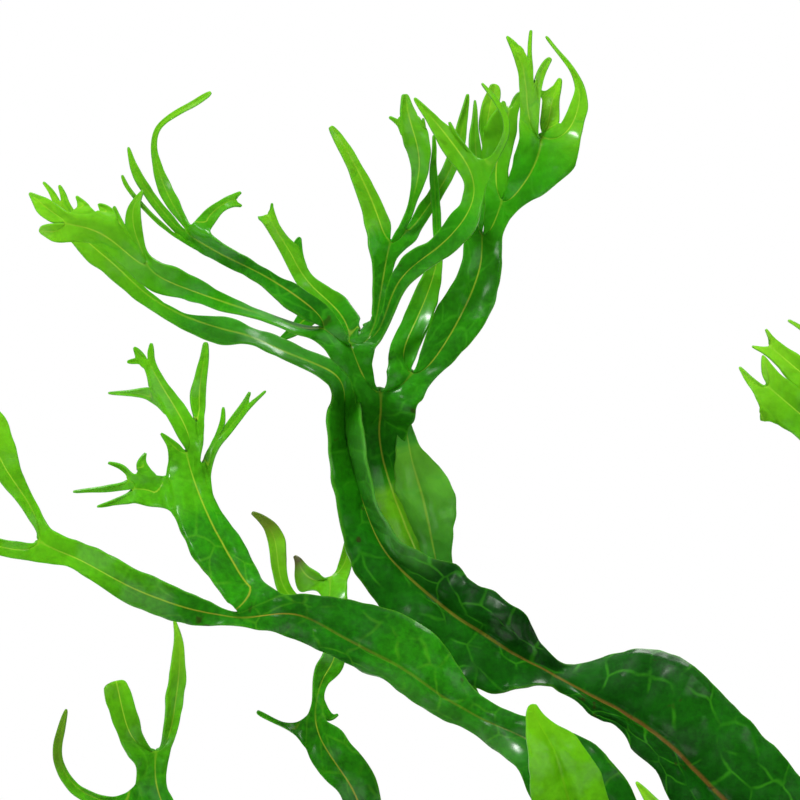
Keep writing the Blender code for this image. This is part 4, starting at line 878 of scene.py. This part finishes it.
# The run of each limb, as x, y, z and radius in mm
limbRuns = {
    "trunk": [(-112, 2, 34, 12), (-92, 0, 31, 15.5), (-66, -2, 27, 20), (-34, 0, 24.5, 23.5),
              (0, 1, 22.5, 26), (34, 0, 23, 25), (66, -1, 27, 20.5), (92, 0, 31, 16), (112, 1, 35, 12.5)],
    "leftRoot": [(-96, 1, 31, 15), (-112, 2, 33, 12), (-126, 6, 26, 9.5), (-137, 12, 16, 7.5),
                 (-144, 20, 6, 6), (-148, 26, -2, 4)],
    "rightBranch": [(96, 0, 31, 15.5), (112, 1, 35, 12.5), (126, 5, 42, 9.5), (138, 11, 50, 7.5),
                    (146, 19, 60, 6)],
    "frontRoot": [(18, -4, 22, 17), (22, -24, 18, 12.5), (28, -42, 11, 9), (38, -56, 4, 6.5),
                  (46, -64, -2, 4)],
    "backRoot": [(-22, 4, 22, 16), (-28, 24, 17, 12), (-38, 42, 10, 8.5), (-52, 56, 3, 6),
                 (-60, 62, -3, 4)],
    "frontKnot": [(-56, -4, 26, 13), (-64, -22, 30, 9), (-70, -32, 35, 6.5)],
    "backKnot": [(56, 6, 28, 13), (64, 22, 33, 9), (70, 31, 40, 6)],
}
knots = [(-30, -24, 26, 9), (62, -20, 30, 7), (88, -12, 26, 6), (-84, 15, 30, 7), (10, 26, 24, 9),
         (-4, -24, 12, 6), (40, 24, 16, 6), (-100, -11, 34, 5)]  # x, y, z and radius in mm
woodNodes = [node for node in frame["nodes"] if node.startswith("driftwood_")]


def limbSamples():
    samples = []
    for limb, run in limbRuns.items():
        way = 0
        aside = Vector((0, 0, 1))
        for start, end in zip(run, run[1:]):
            first, last = Vector(start[:3]) * mm, Vector(end[:3]) * mm
            along = (last - first).normalized()
            aside = (aside - along * aside.dot(along)).normalized()
            steps = round((last - first).length / woodForm["sampleStep"])
            for step in range(steps):
                share = step / steps
                radius = (start[3] + (end[3] - start[3]) * share) * mm
                over = along.cross(aside)
                samples.append((first.lerp(last, share), radius, way, along, aside, over, limb))
                way += (last - first).length / steps
    return samples


# The grain at a place: along its limb and to its sides, with the limb's radius and its share in the blend
def grainsAt(place, samples, tree):
    nearest = {}
    for _, number, _ in tree.find_n(place, woodForm["nearest"]):
        sample = samples[number]
        gap = (place - sample[0]).length - sample[1]
        if sample[-1] not in nearest or gap < nearest[sample[-1]][0]:
            nearest[sample[-1]] = (gap, sample)
    best = sorted(nearest.values(), key=lambda entry: entry[0])[:2]
    grains = []
    for gap, (centre, radius, way, along, aside, over, _) in best:
        off = place - centre
        share = max(0.0, 0.5 - (gap - best[0][0]) / woodForm["blend"])
        grains.append([Vector((way + off.dot(along), off.dot(aside), off.dot(over))), radius, share])
    grains[0][2] = 1 - sum(grain[2] for grain in grains[1:])
    return [grain for grain in grains if grain[2] > 0]


def grainNoise(grain, wander, along, around, start=0, over=0):
    return noise.noise(Vector((
        grain.x * along + start, grain.y * around + wander, grain.z * around + over)))


def knotAt(place):
    swell = 0.0
    for x, y, z, size in knots:
        far = (place - Vector((x, y, z)) * mm).length / (size * mm)
        if far < woodForm["knotReach"]:
            rings = math.cos(far * woodForm["knotTurn"]) * max(0.0, 1 - far / woodForm["knotReach"])
            swell += rings - max(0.0, 0.5 - far) * 1.2
    return swell


def makeWood():
    wood = packedCopy("driftwood", woodNodes)
    applyModifier(wood, "REMESH", mode="VOXEL", voxel_size=woodForm["cell"])
    applyModifier(wood, "SMOOTH", factor=0.5, iterations=woodForm["soften"])
    samples = limbSamples()
    tree = kdtree.KDTree(len(samples))
    for number, sample in enumerate(samples):
        tree.insert(sample[0], number)
    tree.balance()
    mesh = wood.data
    flows, heights = [], []
    for vertex, normal in zip(mesh.vertices, normalsOf(mesh)):
        place = vertex.co.copy()
        wander = noise.noise(place * woodForm["wanderTurns"]) * woodForm["wander"]
        cracked = clipped(noise.noise(place * woodForm["crackTurns"] + Vector((4, 4, 4))) * 3 + 0.4)
        grow = height = 0.0
        grains = grainsAt(place, samples, tree)
        for flow, radius, share in grains:
            out = Vector((0, flow.y, flow.z)).normalized()
            twist = flow.x * woodForm["twist"]
            turned = Vector((flow.x, out.y * math.cos(twist) - out.z * math.sin(twist),
                             out.y * math.sin(twist) + out.z * math.cos(twist)))
            flutes = grainNoise(turned, wander, *woodForm["flutes"])
            ridges = 1 - 2 * abs(grainNoise(turned, wander, *woodForm["ridges"]))
            seam = abs(grainNoise(turned, wander, *woodForm["seams"]))
            crack = max(0.0, 1 - seam / woodForm["crackWidth"]) ** 0.7 * cracked
            grow += share * (flutes * woodForm["flute"] * min(1.0, radius / woodForm["fluteRadius"])
                             + ridges * woodForm["ridge"] - crack * woodForm["crack"])
            height += share * (0.5 + 0.3 * ridges + 0.25 * flutes - 0.6 * crack)
        knot = knotAt(place)
        calm = clipped((place.z - woodForm["calmBelow"]) / woodForm["calmOver"])
        crest = woodForm["crestCalm"] * clipped((place.z - woodForm["calmTop"]) / woodForm["crestOver"])
        crest *= abs(place.y) < woodForm["crestHalf"]
        grow += knot * woodForm["knotDepth"]
        vertex.co = place + normal * (grow * (1 - crest) - woodForm["shrink"]) * calm
        flows.extend(grains[0][0])
        heights.append(height + 0.2 * knot)
    mesh.attributes.new("grain", "FLOAT_VECTOR", "POINT").data.foreach_set("vector", flows)
    mesh.attributes.new("height", "FLOAT", "POINT").data.foreach_set("value", heights)
    activate(wood)
    bpy.ops.object.shade_smooth()
    return wood


def woodMaterial():
    # Driftwood: old root wood, long soaked. Dark, dull and wet, tan on its ridges and black in its cracks
    material, skin, add = newMaterial("soakedDriftwood")
    flow = add("Attribute", attribute_name="grain").outputs["Vector"]
    height = add("Attribute", attribute_name="height").outputs["Fac"]
    fibre, band = (add("Mapping", {"Scale": (1 / length, 1 / width, 1 / width)}, {0: flow})
                   for length, width in ((14 * mm, 0.9 * mm), (40 * mm, 5 * mm)))
    fibres = add("TexNoise", {"Scale": 1, "Detail": 5, "Roughness": 0.62, "Distortion": 0.3}, {0: fibre})
    bands = add("TexNoise", {"Scale": 1, "Detail": 3, "Distortion": 0.8}, {0: band})
    tone = add("Math", {1: 0.9}, {0: fibres, 2: height}, operation="MULTIPLY_ADD")
    shared = add("Math", {1: 0.5}, {0: bands, 2: tone}, operation="MULTIPLY_ADD")
    spread = add("MapRange", {1: 0.5, 2: 1.75}, {0: shared})
    brown = add("ValToRGB", links={0: spread}, stops={
        0.0: "#120A05", 0.3: "#3A2415", 0.55: "#65442A", 0.78: "#8A6645", 1.0: "#B08C66"})
    fibreBump = add("Bump", {"Strength": 0.8, "Distance": 0.45 * mm}, {"Height": fibres})
    damp = add("MapRange", {3: 0.5, 4: 0.85}, {0: bands})
    wire(skin, {"Specular IOR Level": 0.35},
         {"Base Color": brown, "Normal": fibreBump, "Roughness": damp})
    return material


wood = makeWood()
dress(wood, woodMaterial(), "driftwood", *woodNodes)
print("wood:", len(wood.data.polygons), "faces")

# Rhizome: a creeping stem with a swelling under each frond, covered with brown scales
stemForm = {
    "sides": 20, "rings": 260, "mergeNear": 0.002 * mm,
    "radius": 3.3 * mm, "bedded": 0.3 * mm,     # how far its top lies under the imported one's
    "swelling": 1.1 * mm, "swellingLength": 3.2 * mm,
    "rough": 0.8 * mm, "roughAlong": 180, "roughAround": 1.3,
    "wander": 0.5 * mm, "wanderBend": 17 * mm,
    "endLength": 5 * mm,        # over which each end rounds off
    "scales": 760, "scaleLength": 2.2 * mm, "scaleHalf": 0.34 * mm, "scaleFlat": 0.4,
    "scaleCurl": 0.4,           # how far its tip curls, in mm
    "scaleSink": 0.15 * mm, "bareEnd": 3 * mm,
    "seed": 3,
}


def stemAt(x, around):
    end = min(1.0, min(x - stemLow.x, stemHigh.x - x) / stemForm["endLength"])
    out = Vector((0, math.cos(around), math.sin(around)))
    rough = noise.noise(Vector((x * stemForm["roughAlong"], math.cos(around) * stemForm["roughAround"],
                                math.sin(around) * stemForm["roughAround"])))
    swelling = sum(math.exp(-((x - foot) / stemForm["swellingLength"]) ** 2) for foot in feet)
    radius = stemForm["radius"] + stemForm["rough"] * rough
    radius += stemForm["swelling"] * min(1.0, swelling) * (0.6 + 0.4 * math.sin(around))
    radius *= max(0.05, math.sin(end * math.pi / 2)) ** 0.6
    y = stemForm["wander"] * math.sin(x / stemForm["wanderBend"])
    return Vector((x, y, rhizomeTop - stemForm["radius"] - stemForm["bedded"])), out, radius


def makeRhizome():
    chance = random.Random(stemForm["seed"])
    sides, rings = stemForm["sides"], stemForm["rings"]
    bpy.ops.mesh.primitive_grid_add(x_subdivisions=sides, y_subdivisions=rings, size=1)
    stem = bpy.context.object
    stem.name = "rhizomeStem"
    for vertex in stem.data.vertices:  # the sheet is rolled up along the stem
        x = stemLow.x + (stemHigh.x - stemLow.x) * (vertex.co.y + 0.5)
        centre, out, radius = stemAt(x, (vertex.co.x + 0.5) * 2 * math.pi)
        vertex.co = centre + out * radius
    mergePoints(stem, stemForm["mergeNear"], fill=True, outwards=True)
    bpy.ops.object.shade_smooth()
    bpy.ops.mesh.primitive_cone_add(
        vertices=5, radius1=stemForm["scaleHalf"], depth=stemForm["scaleLength"])
    pattern = bpy.context.object
    for vertex in pattern.data.vertices:
        vertex.co.z += stemForm["scaleLength"] / 2
        vertex.co.x *= stemForm["scaleFlat"]
        vertex.co.x += (vertex.co.z / stemForm["scaleLength"]) ** 2 * stemForm["scaleCurl"] * mm
    scales = []
    for _ in range(stemForm["scales"]):
        x = chance.uniform(stemLow.x + stemForm["bareEnd"], stemHigh.x - stemForm["bareEnd"])
        centre, out, radius = stemAt(x, chance.uniform(0, 2 * math.pi))
        along = Vector((chance.choice((-1, 1)) * chance.uniform(0.7, 1.5), 0, 0))
        along += out * chance.uniform(0.2, 0.9)
        along += out.cross(Vector((1, 0, 0))) * chance.uniform(-0.8, 0.8)
        turn = along.to_track_quat("Z", "X").to_matrix().to_4x4()
        scale = bpy.data.objects.new("scale", pattern.data.copy())
        scale.data.transform(Matrix.Translation(centre + out * (radius - stemForm["scaleSink"])) @ turn
                             @ Matrix.Scale(chance.uniform(0.5, 1.15), 4))
        bpy.context.scene.collection.objects.link(scale)
        scales.append(scale)
    bpy.data.objects.remove(pattern)
    return join([stem, *scales])


def stemMaterial():
    # Fern rhizome: green living stem that shows between rusty brown, papery scales
    material, skin, add = newMaterial("scalyRhizome")
    place = add("TexCoord").outputs["Object"]
    patches = add("TexNoise", {"Scale": 1 / (2.5 * mm), "Detail": 4}, {0: place})
    colour = add("ValToRGB", links={0: patches}, stops={
        0.36: "#1E130A", 0.48: "#4A3A18", 0.58: "#5C6A22", 0.72: "#7C8E34"})
    bump = add("Bump", {"Strength": 0.6, "Distance": 0.3 * mm}, {"Height": patches})
    wire(skin, {"Roughness": 0.55, "Specular IOR Level": 0.35}, {"Base Color": colour, "Normal": bump})
    return material


feet = [ribbons[0][0][1]["place"].x for ribbons in allFronds.values()]
stem = makeRhizome()
dress(stem, stemMaterial(), "rhizome", "rhizome")
print("rhizome:", len(stem.data.polygons), "faces")

# Roots: wiry fibres that leave the rhizome's underside, reach the wood and creep down over it
rootForm = {
    "clinging": 400, "clingingSteps": (6, 22), "clingingPull": 0.35,
    "matting": 950, "mattingSteps": (3, 6), "mattingPull": 0.05,    # how strongly it turns downhill
    "stray": 8 * mm,            # how far past the felt's ends some roots start
    "bedded": 0.4 * mm,         # how deep a root starts in the rhizome
    "start": 1.4,               # its first step, in mm
    "step": 2.6 * mm, "jump": 3 * mm,       # it clings to what is nearer than the jump
    "radius": 0.26 * mm,
    "wander": 0.55,             # how far a root may turn at each step, in radians
    "leave": 8 * mm,            # no root goes lower than this
    "fewest": 4,                # points, without which a root is left out
    "seed": 5,
}
feltForm = {
    "cell": 1.1 * mm,
    "tangle": 1.1 * mm, "tangleTurns": (260, 800),      # how far its surface strays, and how often
    "half": 10 * mm, "fall": 1.6 * mm,      # its half width, and how far its edges come down to the wood
    "end": 30 * mm, "sink": 6 * mm,         # over which each end thins out, and how far it sinks
    "spread": 0.35, "spreadTurns": 60,      # how unevenly wide it is
}


def rootPath(chance, surface, kind):
    x = chance.uniform(matLow.x, matHigh.x) + chance.gauss(0, rootForm["stray"])
    x = max(matLow.x - rootForm["stray"], min(matHigh.x + rootForm["stray"] * 1.6, x))
    side = chance.choice((-1, 1))
    centre, out, radius = stemAt(x, math.radians(-90 + side * chance.uniform(5, 85)))
    place = centre + out * (radius - rootForm["bedded"])
    points = [place]
    heading = Vector((chance.uniform(-1, 1), side * chance.uniform(0.5, 1.2), -0.6)).normalized()
    place = place + heading * rootForm["start"] * mm
    points.append(place)
    for _ in range(chance.randint(*rootForm[kind + "Steps"])):
        normal = surface.find_nearest(place)[1]
        downhill = Vector((0, 0, -1)) + normal * normal.z
        heading = heading + downhill * rootForm[kind + "Pull"]
        heading = heading - normal * heading.dot(normal)
        if heading.length < 0.01:
            break
        heading.normalize()
        heading.rotate(Quaternion(normal, chance.uniform(-rootForm["wander"], rootForm["wander"])))
        ahead = place + heading * rootForm["step"]
        hit, normal, _, far = surface.find_nearest(ahead)
        goal = hit + normal * (rootForm["radius"] * chance.uniform(0.6, 2.4))
        place = goal if far < rootForm["jump"] else ahead.lerp(goal, 0.5)
        if place.z < rootForm["leave"]:
            break
        points.append(place)
    return points


def feltCore():
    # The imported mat, roughened: the tangle that the fibres are rooted in
    felt = packedCopy("rootFelt", ["roots"])
    applyModifier(felt, "REMESH", mode="VOXEL", voxel_size=feltForm["cell"])
    under = rhizomeTop - 2 * stemForm["radius"]
    coarse, fine = feltForm["tangleTurns"]
    for vertex, normal in zip(felt.data.vertices, normalsOf(felt.data)):
        aside = abs(vertex.co.y) / feltForm["half"]
        tangle = noise.noise(vertex.co * coarse) + 0.8 * noise.noise(vertex.co * fine)
        end = clipped(min(vertex.co.x - matLow.x, matHigh.x - vertex.co.x) / feltForm["end"] + 0.2 * tangle)
        if normal.z > 0:  # it rises to the rhizome in the middle
            vertex.co.z += max(0.0, under - vertex.co.z) * max(0.0, 1 - aside * 1.3) * end
            vertex.co.z -= feltForm["fall"] * aside ** 2
        else:
            vertex.co.z -= feltForm["fall"]
        vertex.co.z -= feltForm["sink"] * (1 - end) ** 2
        side = math.copysign(3, vertex.co.y)
        uneven = noise.noise(Vector((vertex.co.x * feltForm["spreadTurns"], side, 0)))
        vertex.co.y *= 1 + feltForm["spread"] * (uneven - 0.2)
        vertex.co += normal * feltForm["tangle"] * tangle
    return felt


def makeRoots():
    chance = random.Random(rootForm["seed"])
    felt = feltCore()
    grounds = [(piece.data.vertices, piece.data.polygons) for piece in (wood, felt)]
    first = len(wood.data.vertices)
    surface = BVHTree.FromPolygons(
        [vertex.co for vertices, _ in grounds for vertex in vertices],
        [[number + start for number in face.vertices]
         for start, (_, faces) in zip((0, first), grounds) for face in faces])
    bpy.ops.curve.primitive_bezier_curve_add()
    roots = bpy.context.object
    roots.name = "rootFibres"
    roots.data.splines.clear()
    roots.data.bevel_depth = rootForm["radius"]
    roots.data.bevel_resolution = 0
    roots.data.use_fill_caps = True
    for kind in ("clinging", "matting"):
        for _ in range(rootForm[kind]):
            points = rootPath(chance, surface, kind)
            if len(points) < rootForm["fewest"]:
                continue
            spline = roots.data.splines.new("NURBS")
            spline.points.add(len(points) - 1)
            spline.order_u = 3
            spline.resolution_u = 2
            spline.use_endpoint_u = True
            thick = chance.uniform(0.7, 1.3)
            for number, (point, at) in enumerate(zip(spline.points, points)):
                point.co = (*at, 1)
                point.radius = thick * (1 - 0.7 * number / len(points))
    activate(roots)
    bpy.ops.object.convert(target="MESH")
    join([roots, felt])
    bpy.ops.object.shade_smooth()
    return roots


def rootMaterial():
    # Fern roots: wiry and dull, near black, rusty where they are young
    material, skin, add = newMaterial("wiryRoots")
    place = add("TexCoord").outputs["Object"]
    patches = add("TexNoise", {"Scale": 1 / (3 * mm), "Detail": 5, "Roughness": 0.7}, {0: place})
    hairs = add("TexNoise", {"Scale": 1 / (1.1 * mm), "Detail": 4, "Roughness": 0.7, "Distortion": 2.0},
                {0: place})
    colour = add("ValToRGB", links={0: patches}, stops={0.35: "#140C06", 0.52: "#33200F", 0.7: "#6E4E2A"})
    bump = add("Bump", {"Strength": 0.9, "Distance": 0.5 * mm}, {"Height": hairs})
    wire(skin, {"Roughness": 0.65, "Specular IOR Level": 0.3}, {"Base Color": colour, "Normal": bump})
    return material


roots = makeRoots()
dress(roots, rootMaterial(), "roots", "roots")
print("roots:", len(roots.data.polygons), "faces")

# Studio
bpy.ops.mesh.primitive_plane_add(size=4, location=(0, 0, 0))
floor = bpy.context.object
floor.name = "floor"
floorMaterial, floorSkin, _ = newMaterial("paleFloor")
wire(floorSkin, {"Base Color": linear("#ECECEA"), "Roughness": 0.9})
floor.data.materials.append(floorMaterial)

world = bpy.data.worlds.new("studio")
bpy.context.scene.world = world
world.use_nodes = True
# White paper behind the plant, which lights it only softly
skyLight = 0.14
eyeRay = addNode(world, "LightPath").outputs["Is Camera Ray"]
skyStrength = addNode(world, "MapRange", {3: skyLight, 4: 1.0}, {0: eyeRay})
wire(world.node_tree.nodes["Background"], {"Color": linear("#FFFFFF")}, {"Strength": skyStrength})
bpy.context.scene.view_settings.view_transform = "Standard"

# Soft light from large, far softboxes: turn in degrees from the front, height above level, and spread
lamps = {
    "keyLamp": {"turn": -35, "height": 60, "spread": 14, "power": 3.0},
    "glintLamp": {"turn": -14, "height": 28, "spread": 12, "power": 0.5},
    "fillLamp": {"turn": 60, "height": 20, "spread": 50, "power": 0.75},
    "backLamp": {"turn": 165, "height": 50, "spread": 40, "power": 1.6},
}
for name, lamp in lamps.items():
    bpy.ops.object.light_add(type="SUN", rotation=(
        math.radians(90 - lamp["height"]), 0, math.radians(lamp["turn"])))
    light = bpy.context.object
    light.name = name
    light.data.energy = lamp["power"]
    light.data.angle = math.radians(lamp["spread"])

bpy.ops.object.camera_add(location=(drawing["centreX"], -drawing["eye"], drawing["centreZ"]),
                          rotation=(math.radians(90), 0, 0))
camera = bpy.context.object
camera.data.lens = 400
camera.data.sensor_width = 36
camera.data.clip_end = 20
bpy.context.scene.camera = camera
